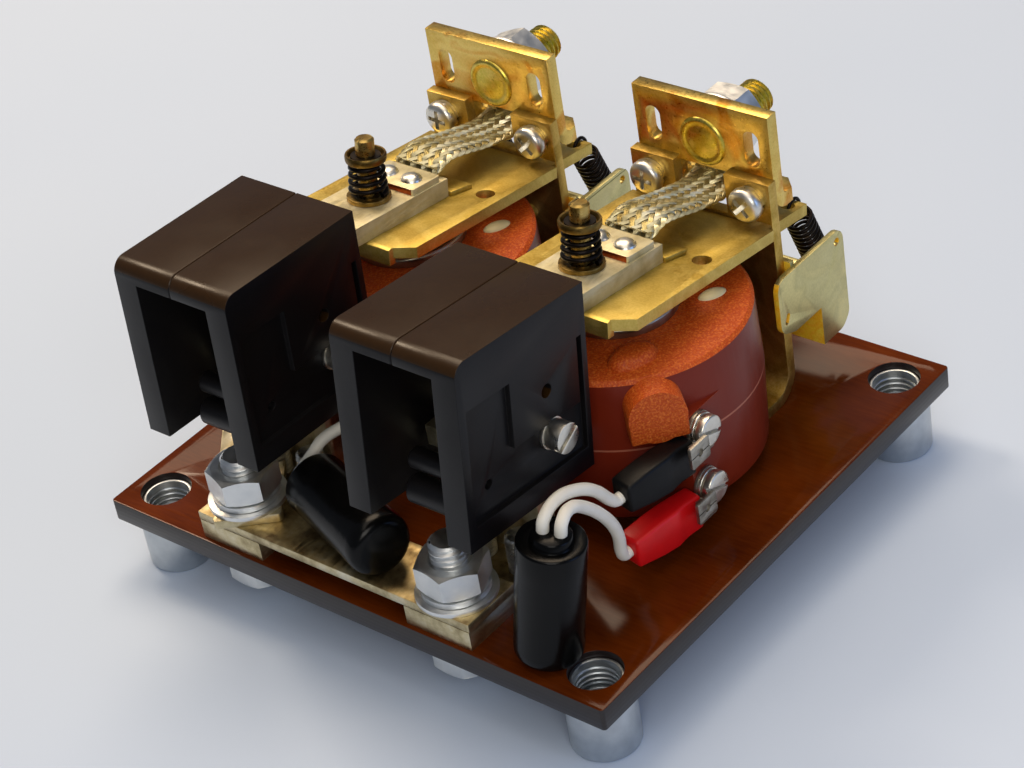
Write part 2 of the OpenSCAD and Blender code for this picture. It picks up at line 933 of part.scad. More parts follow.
// Studs with their heads riveted into the plate's front face.
stud_head_d = 11;
stud_head_t = 0.6;
stud_tip = 7.5;
braid_end_t = 2.4;
stud_end = plate_t + braid_end_t + washer_t + nut_h + stud_tip;

module terminal_studs() {
    color("#c49a2c")
        for (n = [1, 2])
            translate([unit_x(n), yoke_y, stud_z])
                rotate([-90, 0, 0])
                    rotate_extrude()
                        polygon([[0, -stud_head_t], [stud_head_d / 2 - 1.4, -stud_head_t],
                            [stud_head_d / 2, 0], [bolt_d / 2, 0],
                            [bolt_d / 2, stud_end - 0.8],
                            [bolt_d / 2 - 0.8, stud_end], [0, stud_end]]);
}

module stud_nuts() {
    color("#c9cdd0")
        for (n = [1, 2])
            translate([unit_x(n), yoke_y + plate_t + braid_end_t, stud_z])
                rotate([-90, 0, 0])
                    translate([0, 0, washer_t])
                        rotate([0, 0, n == 1 ? 8 : 30])
                            nut(nut_af, nut_h, bolt_d);
}

ear_head_d = 7.4;
ear_head_h = 2.6;
ear_lock_t = 0.8;
module ear_screws() {
    color("#c2c2bd")
        for (n = [1, 2], x = [-1, 1])
            translate([unit_x(n) + x * ear_screw_x, yoke_front - ear_lock_t, ear_screw_z])
                rotate([-90, 0, 0]) {
                    lock_ring(6.8, ear_screw_d + 2 * fit, ear_lock_t);
                    rotate([0, 0, x * 20])
                        pan_head(ear_head_d, ear_head_h);
                    cylinder(d = ear_screw_d, h = ear_lock_t + yoke_t + plate_t - 0.4);
                }
}

// Folded sheet behind the yoke: flange, spring shelf, side flag and its flap.
sheet_t = 1.2;
flag_x = 18.5;
flag_front = 6.5;
flag_back = 17;
flag_top = hinge_z - 7.4;
flag_low = hinge_z - 20.3;
flag_leg_low = hinge_z - 31;
flag_leg_w = 8;
notch_front = 1.8;
notch_back = 7.4;
notch_top = hinge_z - 21.7;
shelf_top = hinge_z - anchor_drop;
strip_w = 1.4;
hook_hole = 3;
flange_top = hinge_z - 6.5;
shelf_back = hinge_y + anchor_reach + strip_w / 2;

module flag_outline() {
    difference() {
        translate([yoke_y, 0])
            polygon([[-flag_front, flag_top - 1.5], [-flag_front + 1.5, flag_top],
                [flag_back - 1.5, flag_top], [flag_back, flag_top - 1.5],
                [flag_back, flag_leg_low + 2.5], [flag_back - 2.5, flag_leg_low],
                [notch_back, flag_leg_low], [notch_back, notch_top],
                [-notch_front, notch_top], [-flag_front + 1.2, flag_low],
                [-flag_front, flag_low + 1.2]]);
        translate([yoke_y + flag_back - 2.4, flag_top - 2.4])
            circle(d = 1.8);
        translate([yoke_y - 4.2, flag_low + 3])
            rotate(-25)
                slot(1.2, 2.6);
    }
}

module switch_bracket() {
    color("#b5ad68")
        difference() {
            union() {
                translate([flag_x + sheet_t / 2, 0, 0])
                    across(sheet_t)
                        flag_outline();
                translate([-yoke_w / 2, yoke_y, shelf_top])
                    cube([flag_x + yoke_w / 2 + 0.01, sheet_t, flange_top - shelf_top]);
                translate([-yoke_w / 2, yoke_y, shelf_top - sheet_t])
                    cube([yoke_w, shelf_back - yoke_y, sheet_t]);
                translate([flag_x - flag_leg_w, yoke_y + notch_back, flag_leg_low])
                    cube([flag_leg_w + 0.01, sheet_t, notch_top - flag_leg_low - 0.6]);
            }
            for (x = [-1, 1]) {
                translate([x * tail_x, shelf_back - strip_w - hook_hole / 2, shelf_top - 3])
                    cylinder(d = hook_hole, h = 5);
                translate([x * bracket_screw_x, yoke_y - 1, bracket_screw_z])
                    rod_back(3 + 2 * fit, sheet_t + 2);
            }
        }
}

// Return springs.

tail_hole_y = tail_reach - strip_w - hook_hole / 2;
// Middle of the strip of tail behind its hole, with the armature open.
function tail_strip() =
    let (y = tail_reach - strip_w / 2, z = armature_t / 2)
        [hinge_y + y * cos(open_angle) + z * sin(open_angle),
            hinge_z - y * sin(open_angle) + z * cos(open_angle)];
function anchor_strip() = [shelf_back - strip_w / 2, shelf_top - sheet_t / 2];

module return_springs() {
    a = anchor_strip();
    b = tail_strip();
    l = norm(b - a);
    lean = atan2(a[0] - b[0], b[1] - a[1]);
    color("#1c1917")
        for (x = [-1, 1])
            translate([x * tail_x, a[0], a[1]])
                rotate([lean, 0, 0])
                    rotate([0, 0, 90])
                        tube(return_spring_path(l), return_wire, 6);
}

// Braid.

braid_w = 11;
braid_t = 2.4;
lug_t = 1.3;
seat_d = 9.2;
lug_gap = 0.85;
lug_w = 14;
lug_back = 1.7;
lug_l = finger_back_y - lug_back - post_y - seat_d / 2 - lug_gap;
function opened(y, z) =
    let (dy = y - hinge_y, dz = z - hinge_z)
        [hinge_y + dy * cos(open_angle) + dz * sin(open_angle),
            hinge_z - dy * sin(open_angle) + dz * cos(open_angle)];

// Side view of the braid from the lug, through the ears, up behind the plate.
crimp_low = ear_top - 3.3;
crimp_w = 14;
crimp_up = 7.2;
function braid_path() =
    let (start = opened(finger_back_y - lug_back + braid_t / 2, finger_top + braid_t / 2)
            + [0.3, 0.3],
        middle = (armature_top + window_high + ear_top) / 2 - 0.6,
        back = yoke_y + plate_t + braid_end_t / 2)
        [start, start + [5, 0.6], [yoke_y - 10, middle + 1.6],
            [yoke_y - 2, middle - 0.4], [back, middle + 0.2], [back, crimp_low + 1]];

module braid() {
    path = braid_path();
    color("#b5ab84")
        across(braid_w)
            difference() {
                for (i = [0:len(path) - 2])
                    hull() {
                        translate(path[i])
                            circle(d = braid_t, $fn = 24);
                        translate(path[i + 1])
                            circle(d = braid_t, $fn = 24);
                    }
                translate([yoke_y, crimp_low])
                    square([20, 20]);
            }
}

// Braid end pressed solid round the stud.
module braid_ends() {
    color("#a99c72")
        for (n = [1, 2])
            translate([unit_x(n), yoke_y + plate_t, 0])
                difference() {
                    backward(braid_end_t)
                        translate([0, (crimp_low + stud_z + crimp_up) / 2])
                            round_rect(crimp_w, stud_z + crimp_up - crimp_low, 2);
                    translate([0, -1, stud_z])
                        rod_back(bolt_d + 2 * fit, braid_end_t + 2);
                }
}

// Coil terminals, suppressors and leads.

tab_t = 0.8;
tab_w = 6.3;
tab_y = coil_y + pad_back - pad_l + tab_inset;
blade_drop = 3.5;
blade_l = 10;

module coil_tabs() {
    color("#c8c8c4")
        for (n = [1, 2], z = tab_up)
            translate([unit_x(n) + pad_x, tab_y, coil_z + z])
                rotate([90, 0, 90])
                    linear_extrude(tab_t)
                        difference() {
                            union() {
                                circle(d = 7);
                                translate([-3.5, -blade_drop - tab_w / 2 + 2])
                                    square([7, blade_drop + tab_w / 2 - 2]);
                                translate([-blade_l, -blade_drop - tab_w / 2])
                                    square([blade_l + 3.5, tab_w]);
                            }
                            circle(d = tab_screw_d + 2 * fit);
                        }
}

tab_washer_d = 6.8;
tab_washer_t = 0.8;
tab_head_d = 6.6;
tab_head_h = 2;
module coil_screws() {
    color("#d0d2d2")
        for (n = [1, 2], z = tab_up)
            translate([unit_x(n) + pad_x + tab_t, tab_y, coil_z + z])
                rotate([0, -90, 0])
                    translate([0, 0, -tab_washer_t]) {
                        ring(tab_washer_d, tab_screw_d + 2 * fit, tab_washer_t);
                        pan_head(tab_head_d, tab_head_h);
                        cylinder(d = tab_screw_d, h = 6);
                    }
}

// Insulating boot over a blade, drawn about the blade's root.
boot_l = 17.4;
boot_t = 5.4;
boot_h = 8.4;
boot_shift = [-0.3, 0];
boot_turn = -12;
boot_gap = 3.7;
boot_taper_l = 14;
pocket_t = 3.4;
pocket_l = 9;

// Neck of the spare blade, where it leaves the pocket through a notch in the boot.
neck_l = 1.8;
neck_h = 2;
neck_low = 1.2;
module boot(shift) {
    translate([0, -boot_gap, shift])
        rotate([0, 0, boot_turn])
            difference() {
                rotate([90, 0, 0])
                    linear_extrude(boot_l)
                        round_rect(boot_t, boot_h, 1.2);
                for (s = [-1, 1])
                    translate([0, -boot_l, s * boot_h / 2])
                        rotate([s * 14, 0, 0])
                            cube([boot_t + 2, boot_taper_l, 3.6], center = true);
                translate([0, 0.01, -shift])
                    rotate([90, 0, 0])
                        linear_extrude(pocket_l)
                            square([pocket_t, tab_w + 0.4], center = true);
                translate([pocket_t / 2 - 0.2, -neck_l - 0.1, neck_low - shift])
                    cube([boot_t / 2, neck_l + 1, neck_h + 0.2]);
            }
}

module boots(k, tint) {
    color(tint)
        for (n = [1, 2])
            translate([unit_x(n) + pad_x + tab_t / 2, tab_y,
                coil_z + tab_up[k] - blade_drop])
                boot(boot_shift[k]);
}

module connectors_black() {
    boots(0, "#22262b");
}

module connectors_red() {
    boots(1, "#c41016");
}

// Spare blade beside each boot, facing right, with its neck turned into the pocket.
spare_x = 3.65;
spare_l = 5.8;
spare_h = 4.9;
spare_ahead = 5.1;
spare_rise = 2.3;
module piggyback_tabs() {
    color("#bdbdb8")
        for (n = [1, 2], z = tab_up)
            translate([unit_x(n) + pad_x, tab_y, coil_z + z - blade_drop]) {
                translate([spare_x, -spare_ahead, spare_rise])
                    rotate([90, 0, 90])
                        linear_extrude(tab_t)
                            difference() {
                                round_rect(spare_l, spare_h, 0.5);
                                circle(d = 1.6);
                            }
                translate([tab_t / 2 + pocket_t / 2 - 0.3, -boot_gap - 0.2 - neck_l, neck_low])
                    cube([spare_x - pocket_t / 2, neck_l, neck_h]);
            }
}

// Round body with a domed foot and a stepped collar, along Z from its foot.
collar_h = 2.5;
module suppressor_body() {
    r = suppressor_d / 2;
    rotate_extrude()
        polygon([[0, 0], [r - 1.6, 0], [r - 0.5, 0.5], [r, 1.8],
            [r, suppressor_l - collar_h - 1], [r - 1, suppressor_l - collar_h],
            [r - 2, suppressor_l - collar_h + 0.4], [r - 2.4, suppressor_l],
            [0, suppressor_l]]);
}

// The left one lies on the link, the right one stands on the board.
lying_turn = 161;
lying_at = [40.5, -3.2];
standing_at = [21.9, -0.6];
standing_lean = 9;
standing_turn = 28;
standing_z = top_z + (suppressor_d / 2 - 1.6) * sin(standing_lean);

module suppressor_1() {
    color("#1d1b1b")
        translate([unit_x(1) + lying_at[0], bolt_y + lying_at[1],
            link_top + suppressor_d / 2])
            rotate([0, 0, lying_turn])
                rotate([0, 90, 0])
                    suppressor_body();
}

module suppressor_2() {
    color("#1d1b1b")
        translate([unit_x(2) + standing_at[0], bolt_y + standing_at[1], standing_z])
            rotate([0, 0, standing_turn])
                rotate([0, standing_lean, 0])
                    suppressor_body();
}

// Outer end of each suppressor, the way it points, and half the leads' spacing there.
function turned(v, lean, turn) =
    let (x = v[2] * sin(lean), z = v[2] * cos(lean))
        [x * cos(turn) - v[1] * sin(turn), x * sin(turn) + v[1] * cos(turn), z];
function suppressor_end(n) = n == 1
    ? [unit_x(1) + lying_at[0], bolt_y + lying_at[1], link_top + suppressor_d / 2]
        + turned([0, 0, suppressor_l], 90, lying_turn)
    : [unit_x(2) + standing_at[0], bolt_y + standing_at[1], standing_z]
        + turned([0, 0, suppressor_l], standing_lean, standing_turn);
function suppressor_way(n) = n == 1
    ? turned([0, 0, 1], 90, lying_turn) : turned([0, 0, 1], standing_lean, standing_turn);
lead_step = [[0, 0, 1.7], [-1.6, -0.6, 0.27]];

// Mouth of a boot, where its lead goes in.
function boot_mouth(n, k) =
    [unit_x(n) + pad_x + tab_t / 2 + boot_l * sin(boot_turn),
        tab_y - boot_gap - boot_l * cos(boot_turn),
        coil_z + tab_up[k] - blade_drop + boot_shift[k]];
boot_way = [sin(boot_turn), -cos(boot_turn), 0];

// Hand-chosen points of the free stretches, from suppressor to boot,
// measured from the unit's middle plane and its front bolt.
route_1 = [[[11, 9, 34], [12, 13, 37], [17, 19, 39]],
    [[11, 9, 27.5], [12, 13, 26], [17, 19, 25.5]]];
route_2 = [[[24.4, 4.5, 51.6], [24, 9.5, 50.6], [23.6, 16.5, 46.2]],
    [[26.9, 5.5, 50.3], [26, 9.7, 48], [25, 16.5, 40.7], [24, 21.2, 32.9]]];

function lead_points(n, k, route) =
    let (e = suppressor_end(n) + (k == 0 ? 1 : -1) * lead_step[n - 1],
        w = suppressor_way(n), m = boot_mouth(n, k))
        concat([e, e + 2.5 * w], [for (p = route[k]) p + [unit_x(n), bolt_y, 0]],
            [m + 2 * boot_way, m]);

// Rounds a route by cutting each corner once.
function rounded(p) =
    [for (i = [0:len(p) - 1])
        each i == 0 || i == len(p) - 1 ? [p[i]]
            : [p[i] * 0.75 + p[i - 1] * 0.25, p[i] * 0.75 + p[i + 1] * 0.25]];

module leads(n, route) {
    color("#e6e2d6")
        for (k = [0, 1])
            tube(rounded(lead_points(n, k, route)), lead_d, 8);
}

// Armature and what rides on it.

lip_r = 1.2;
chamfer = 4;
module armature() {
    front = hinge_y - armature_reach;
    back = yoke_front - 0.75;
    color("#b3a24e")
        swung_open()
            difference() {
                union() {
                    translate([0, 0, hinge_z])
                        linear_extrude(armature_t)
                            polygon([[-armature_w / 2 + chamfer, front + lip_r],
                                [armature_w / 2 - chamfer, front + lip_r],
                                [armature_w / 2, front + chamfer],
                                [armature_w / 2, back], [-armature_w / 2, back],
                                [-armature_w / 2, front + chamfer]]);
                    translate([0, front + lip_r, hinge_z])
                        across(armature_w - 2 * chamfer) {
                            difference() {
                                intersection() {
                                    circle(r = armature_t);
                                    translate([-armature_t, 0])
                                        square(armature_t);
                                }
                                translate([-armature_t, 0])
                                    square([armature_t - lip_r, armature_t]);
                            }
                            translate([-lip_r, -lip_r])
                                square([lip_r + 0.6, lip_r + 0.01]);
                        }
                    for (x = [-1, 1])
                        translate([x * tail_x - tail_w / 2, back - 0.01, hinge_z])
                            cube([tail_w, hinge_y + tail_reach - back + 0.01, armature_t]);
                }
                for (x = [-1, 1]) {
                    translate([x * tail_x, hinge_y + tail_hole_y, hinge_z - 1])
                        cylinder(d = hook_hole, h = armature_t + 2);
                    translate([x * 13.2, hinge_y - 20.25, hinge_z - 1])
                        cylinder(d = 4, h = armature_t + 2);
                }
                translate([0, post_y, hinge_z - 1])
                    cylinder(d = post_d + 2 * fit, h = armature_t + 2);
            }
}

seat_washer_t = 1;
cup_d = 8.6;
cup_h = 1.8;
cup_z = finger_top + seat_washer_t + contact_spring_l;

// Post riveted under the armature, with its cup and the clip that holds it.
module contact_post() {
    swung_open()
        translate([0, post_y, 0]) {
            color("#c8a860")
                translate([0, 0, hinge_z])
                    rotate_extrude()
                        polygon([[0, 0], [post_d / 2, 0],
                            [post_d / 2, armature_t + post_h - 0.4],
                            [post_d / 2 - 0.4, armature_t + post_h],
                            [0, armature_t + post_h]]);
            color("#8a7440")
                translate([0, 0, cup_z])
                    difference() {
                        rotate_extrude()
                            polygon([[0, 0], [cup_d / 2 - 0.5, 0], [cup_d / 2, 0.5],
                                [cup_d / 2, cup_h - 0.3], [cup_d / 2 - 0.3, cup_h],
                                [0, cup_h]]);
                        translate([0, 0, -1])
                            cylinder(d = post_d + 2 * fit, h = cup_h + 2);
                        translate([0, 0, 0.7])
                            cylinder(d = cup_d - 1.6, h = cup_h);
                    }
            color("#2a241e")
                translate([0, 0, cup_z + 0.7])
                    ring(6.2, post_d + 2 * fit, 0.7);
        }
}

module contact_spring() {
    color("#1c1714")
        swung_open()
            translate([0, post_y, finger_top + seat_washer_t])
                tube(contact_spring_path(), contact_wire, 6);
}

nose_bevel = 1.5;
rivet_x = 3.25;
rivet_y = finger_back_y - lug_back - lug_l / 2 - 0.3;
module finger() {
    color("#b5ab8c")
        swung_open()
            difference() {
                across(finger_w)
                    polygon([[finger_nose_y, armature_top],
                        [finger_back_y, armature_top], [finger_back_y, finger_top],
                        [finger_nose_y + nose_bevel, finger_top],
                        [finger_nose_y, finger_top - nose_bevel]]);
                translate([0, post_y, armature_top - 1])
                    cylinder(d = post_d + 1.6, h = finger_t + 2);
                for (x = [-1, 1])
                    translate([x * rivet_x, rivet_y, armature_top + 1])
                        cylinder(d = 2 + 2 * fit, h = finger_t);
            }
}

module moving_tip() {
    color("#cfcabb")
        swung_open()
            translate([0, tip_y, armature_top - moving_tip_t])
                linear_extrude(moving_tip_t)
                    round_rect(finger_w - 3, tip_l, 0.8);
}

module seat_washer() {
    color("#8f7c52")
        swung_open()
            translate([0, post_y, finger_top])
                ring(seat_d, post_d + 1.4, seat_washer_t);
}

// Copper lug on the braid's front end, held by two domed rivets.
module braid_lug() {
    back = finger_back_y - lug_back;
    swung_open() {
        color("#b9ac86")
            difference() {
                translate([0, back - lug_l / 2, finger_top])
                    linear_extrude(lug_t)
                        round_rect(lug_w, lug_l, 0.6);
                for (x = [-1, 1])
                    translate([x * rivet_x, rivet_y, finger_top - 1])
                        cylinder(d = 2 + 2 * fit, h = lug_t + 2);
            }
        color("#c4c4c0")
            for (x = [-1, 1])
                translate([x * rivet_x, rivet_y, finger_top + lug_t]) {
                    rotate_extrude()
                        polygon([[0, 0], [2.3, 0], [2.2, 0.4], [1.7, 0.9],
                            [0.9, 1.2], [0, 1.3]]);
                    translate([0, 0, -lug_t - finger_t + 1])
                        cylinder(d = 2, h = lug_t + finger_t - 0.9);
                }
    }
}

echo(contact_spring_gap = least_gap(contact_spring_path(), curl_rings - 1, contact_wire));
echo(return_spring_gap =
    least_gap(return_spring_path(norm(tail_strip() - anchor_strip())),
        curl_rings - 1, return_wire));

// Nodes.

module at_unit(n) {
    translate([unit_x(n), 0, 0])
        children();
}

base_board();
spacers();
terminal_bolts();
terminal_washers();
spring_washers();
terminal_nuts();
link_bar();
side_strap();
at_unit(1) contact_bar();  // contact_bar_1
at_unit(2) contact_bar();  // contact_bar_2
fixed_tips();
clamp_screws();
at_unit(1) yoke();  // yoke_1
at_unit(2) yoke();  // yoke_2
at_unit(1) coil();  // coil_1
at_unit(2) coil();  // coil_2
at_unit(1) core();  // core_1
at_unit(2) core();  // core_2
core_screws();
at_unit(1) tilted(tilt_1) chute_half(-1);  // chute_left_1
at_unit(1) tilted(tilt_1) chute_half(1);  // chute_right_1
at_unit(2) tilted(tilt_2) chute_half(-1);  // chute_left_2
at_unit(2) tilted(tilt_2) chute_half(1);  // chute_right_2
chute_screws();
at_unit(1) terminal_plate();  // terminal_plate_1
at_unit(2) terminal_plate();  // terminal_plate_2
terminal_studs();
stud_nuts();
ear_screws();
at_unit(1) switch_bracket();  // switch_bracket_1
at_unit(2) switch_bracket();  // switch_bracket_2
at_unit(1) return_springs();  // return_springs_1
at_unit(2) return_springs();  // return_springs_2
coil_tabs();
coil_screws();
suppressor_1();
suppressor_2();
leads(1, route_1);  // leads_1
leads(2, route_2);  // leads_2
connectors_black();
connectors_red();
piggyback_tabs();
at_unit(1) braid();  // braid_1
at_unit(2) braid();  // braid_2
braid_ends();
at_unit(1) armature();  // armature_1
at_unit(2) armature();  // armature_2
at_unit(1) contact_post();  // contact_post_1
at_unit(2) contact_post();  // contact_post_2
at_unit(1) contact_spring();  // contact_spring_1
at_unit(2) contact_spring();  // contact_spring_2
at_unit(1) finger();  // finger_1
at_unit(2) finger();  // finger_2
at_unit(1) moving_tip();  // moving_tip_1
at_unit(2) moving_tip();  // moving_tip_2
at_unit(1) seat_washer();  // seat_washer_1
at_unit(2) seat_washer();  // seat_washer_2
at_unit(1) braid_lug();  // braid_lug_1
at_unit(2) braid_lug();  // braid_lug_2
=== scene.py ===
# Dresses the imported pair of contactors: camera, light, finer pieces and finishes.
import bpy
import json
import math
from mathutils import Matrix, Vector

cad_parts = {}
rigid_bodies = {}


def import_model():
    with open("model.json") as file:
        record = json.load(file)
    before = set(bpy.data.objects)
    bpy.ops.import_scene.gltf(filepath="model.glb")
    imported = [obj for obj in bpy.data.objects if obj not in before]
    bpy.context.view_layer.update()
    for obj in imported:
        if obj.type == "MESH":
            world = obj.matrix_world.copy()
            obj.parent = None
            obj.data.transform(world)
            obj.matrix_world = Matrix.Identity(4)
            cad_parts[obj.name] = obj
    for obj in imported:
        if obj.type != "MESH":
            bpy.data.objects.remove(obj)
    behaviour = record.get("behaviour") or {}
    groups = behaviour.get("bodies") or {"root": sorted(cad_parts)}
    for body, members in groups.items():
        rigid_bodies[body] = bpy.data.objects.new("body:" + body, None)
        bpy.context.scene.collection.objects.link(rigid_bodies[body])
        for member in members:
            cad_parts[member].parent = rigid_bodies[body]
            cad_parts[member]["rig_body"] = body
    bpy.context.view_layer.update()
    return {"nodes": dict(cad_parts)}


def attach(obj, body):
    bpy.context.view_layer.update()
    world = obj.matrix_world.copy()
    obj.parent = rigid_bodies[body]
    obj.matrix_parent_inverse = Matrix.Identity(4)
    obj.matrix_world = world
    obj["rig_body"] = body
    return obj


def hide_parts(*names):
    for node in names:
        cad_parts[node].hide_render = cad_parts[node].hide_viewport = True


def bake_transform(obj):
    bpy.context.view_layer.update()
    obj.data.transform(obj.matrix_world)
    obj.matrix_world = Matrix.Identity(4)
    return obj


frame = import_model()
MM = 0.001

# Camera, measured from the photograph: rows are right, down and forward.
VIEW = ((0.7717950, 0.6191631, -0.1448086), (0.2738446, -0.5291796, -0.8031053),
        (-0.5738829, 0.5801776, -0.5779726))
EYE = (0.3247244, -0.3304602, 0.3587577)
LENS = 97.0
SENSOR = 36.0


def put_in(name, data):
    """Puts some data in the scene as an object."""
    thing = bpy.data.objects.new(name, data)
    bpy.context.scene.collection.objects.link(thing)
    return thing


camera_data = bpy.data.cameras.new("photo_camera")
camera_data.lens = LENS
camera_data.sensor_width = SENSOR
camera = put_in("photo_camera", camera_data)
right, down, ahead = (Vector(row).normalized() for row in VIEW)
turn = Matrix((right, -down, -ahead)).transposed().to_4x4()
camera.matrix_world = Matrix.Translation(EYE) @ turn
bpy.context.scene.camera = camera
bpy.context.scene.view_settings.view_transform = "Standard"


# Colours and nodes.

def linear(shade):
    """Turns an sRGB hex value into the linear colour that a socket takes."""
    parts = [int(shade[i:i + 2], 16) / 255 for i in (1, 3, 5)]
    return tuple(p / 12.92 if p <= 0.04045 else ((p + 0.055) / 1.055) ** 2.4 for p in parts) + (1,)


def per(size):
    """Scale of a pattern whose features are so many millimetres apart. Where the real grain
    is finer than the render can show, the size given is a coarser one."""
    return 1 / (size * MM)


def add(sheet, kind, inputs=None, stops=None, **settings):
    """Adds a node with its settings, and fills or links its inputs."""
    node = sheet.nodes.new("ShaderNode" + kind)
    for key, value in settings.items():
        setattr(node, key, value)
    for key, value in (inputs or {}).items():
        if isinstance(value, bpy.types.NodeSocket):
            sheet.links.new(value, node.inputs[key])
        elif isinstance(value, str):
            node.inputs[key].default_value = linear(value)
        else:
            node.inputs[key].default_value = value
    for i, (at, shade) in enumerate(stops or ()):
        stop = node.color_ramp.elements[i] if i < 2 else node.color_ramp.elements.new(at)
        stop.position = at
        stop.color = linear(shade)
    return node


def begin(name):
    """An empty material, its node sheet and the piece's own coordinates."""
    material = bpy.data.materials.new(name)
    material.use_nodes = True
    material.node_tree.nodes.clear()
    place = add(material.node_tree, "TexCoord").outputs["Object"]
    return material, material.node_tree, place


def close(material, sheet, inputs, height=None, strength=1.0, depth=0.1):
    """Puts the shader on the material's surface, over a relief of some depth in millimetres."""
    if height:
        relief = {"Height": height, "Strength": strength, "Distance": depth * MM}
        inputs["Normal"] = add(sheet, "Bump", relief).outputs[0]
    shader = add(sheet, "BsdfPrincipled", inputs)
    add(sheet, "OutputMaterial", {"Surface": shader.outputs[0]})
    return material


# Finishes. The mould's parting line has its height and half its width in millimetres, and
# a wave pattern repeats at so many times its scale.
PARTING_Z = 38.5
PARTING_HALF = 0.22
WAVE = 6.28


def laminate_pressed_face():
    """Paper phenolic laminate pressed between polished plates: deep brown gloss over fibres
    that hardly show, with lighter clouds where the resin is thin."""
    material, sheet, place = begin("phenolic_laminate_pressed_face")
    along = add(sheet, "Mapping", {"Vector": place, "Scale": (0.12, 1, 1)})
    fibres = add(sheet, "TexNoise", {"Vector": along.outputs[0], "Scale": per(0.7), "Detail": 4})
    clouds = add(sheet, "TexNoise", {"Vector": place, "Scale": per(16), "Detail": 2})
    shade = add(sheet, "ValToRGB", {"Fac": clouds.outputs["Fac"]},
                [(0.3, "#411703"), (0.7, "#5c2605")])
    grain = add(sheet, "Mix", {"Factor": 0.1, "A": shade.outputs[0],
                "B": add(sheet, "ValToRGB", {"Fac": fibres.outputs["Fac"]},
                         [(0.35, "#3a1404"), (0.65, "#85410f")]).outputs[0]}, data_type="RGBA")
    smear = add(sheet, "MapRange", {"Value": clouds.outputs["Fac"], "To Min": 0.1,
                                    "To Max": 0.17})
    return close(material, sheet, {"Base Color": grain.outputs[2], "Roughness": smear.outputs[0],
                                   "Specular IOR Level": 0.14}, fibres.outputs["Fac"], 0.02)


def laminate_sawn_edge():
    """Sawn edge of the laminate: dark, matt, with its paper layers as fine level lines."""
    material, sheet, place = begin("phenolic_laminate_sawn_edge")
    layers = add(sheet, "TexWave", {"Vector": place, "Scale": per(0.5) / WAVE, "Distortion": 1.5,
                                    "Detail": 2}, bands_direction="Z")
    dust = add(sheet, "TexNoise", {"Vector": place, "Scale": per(1.5), "Detail": 3})
    shade = add(sheet, "Mix", {"Factor": dust.outputs["Fac"], "A": "#160f0d", "B": "#241b19"},
                data_type="RGBA")
    return close(material, sheet, {"Base Color": shade.outputs[2], "Roughness": 0.3},
                 layers.outputs["Fac"], 0.08)


def turned_metal(name, dull, bright, rough):
    """Metal turned on a lathe or plated over it: a fine drawn grain, cloudy brightness
    and small dark pits."""
    material, sheet, place = begin(name)
    along = add(sheet, "Mapping", {"Vector": place, "Scale": (1, 1, 40)})
    grain = add(sheet, "TexNoise", {"Vector": along.outputs[0], "Scale": per(7), "Detail": 3})
    clouds = add(sheet, "TexNoise", {"Vector": place, "Scale": per(3), "Detail": 3})
    pits = add(sheet, "TexVoronoi", {"Vector": place, "Scale": per(0.9)})
    shade = add(sheet, "Mix", {"Factor": clouds.outputs["Fac"], "A": dull, "B": bright},
                data_type="RGBA")
    worn = add(sheet, "MapRange", {"Value": clouds.outputs["Fac"], "From Min": 0.3,
                                   "From Max": 0.7, "To Min": rough, "To Max": rough + 0.18})
    height = add(sheet, "Math", {0: grain.outputs["Fac"], 1: pits.outputs["Distance"]},
                 operation="ADD")
    return close(material, sheet, {"Base Color": shade.outputs[2], "Roughness": worn.outputs[0],
                                   "Metallic": 1.0}, height.outputs[0], 0.12)


def rolled_bar(name, pale, warm, stain, rough):
    """Rolled copper bar, tinned and handled: pale metal with warm and brown tarnish in
    patches, and fine scratches both ways."""
    material, sheet, place = begin(name)
    patches = add(sheet, "TexNoise", {"Vector": place, "Scale": per(5), "Detail": 5,
                                      "Roughness": 0.6})
    shade = add(sheet, "ValToRGB", {"Fac": patches.outputs["Fac"]},
                [(0.3, stain), (0.75, pale), (0.52, warm)])
    scratch = add(sheet, "Mapping", {"Vector": place, "Rotation": (0, 0, 0.6),
                                     "Scale": (1, 0.05, 1)})
    lines = add(sheet, "TexNoise", {"Vector": scratch.outputs[0], "Scale": per(0.4), "Detail": 2})
    worn = add(sheet, "MapRange", {"Value": lines.outputs["Fac"], "From Min": 0.35,
                                   "From Max": 0.65, "To Min": rough, "To Max": rough + 0.2})
    return close(material, sheet, {"Base Color": shade.outputs[0], "Roughness": worn.outputs[0],
                                   "Metallic": 1.0}, lines.outputs["Fac"], 0.15)


def chromated(name, shades, rough, cloud, metal=1.0):
    """Zinc plate with a yellow chromate dip: straw to gold, drifting to green and rose where
    the film is thicker, over the sparkle of pickled sheet."""
    material, sheet, place = begin(name)
    drift = add(sheet, "TexNoise", {"Vector": place, "Scale": per(cloud), "Detail": 2,
                                    "Distortion": 1.2})
    film = add(sheet, "ValToRGB", {"Fac": drift.outputs["Fac"]},
               [(0.28 + 0.11 * i, shade) for i, shade in enumerate(shades)])
    grit = add(sheet, "TexNoise", {"Vector": place, "Scale": per(0.45), "Detail": 3})
    shade = add(sheet, "Mix", {"Factor": 0.1, "A": film.outputs[0],
                "B": add(sheet, "ValToRGB", {"Fac": grit.outputs["Fac"]},
                         [(0.4, "#7d6a2a"), (0.6, "#f4e6a8")]).outputs[0]}, data_type="RGBA")
    worn = add(sheet, "MapRange", {"Value": grit.outputs["Fac"], "From Min": 0.3, "From Max": 0.7,
                                   "To Min": rough, "To Max": rough + 0.12})
    return close(material, sheet, {"Base Color": shade.outputs[2], "Roughness": worn.outputs[0],
                                   "Metallic": metal}, grit.outputs["Fac"], 0.08)


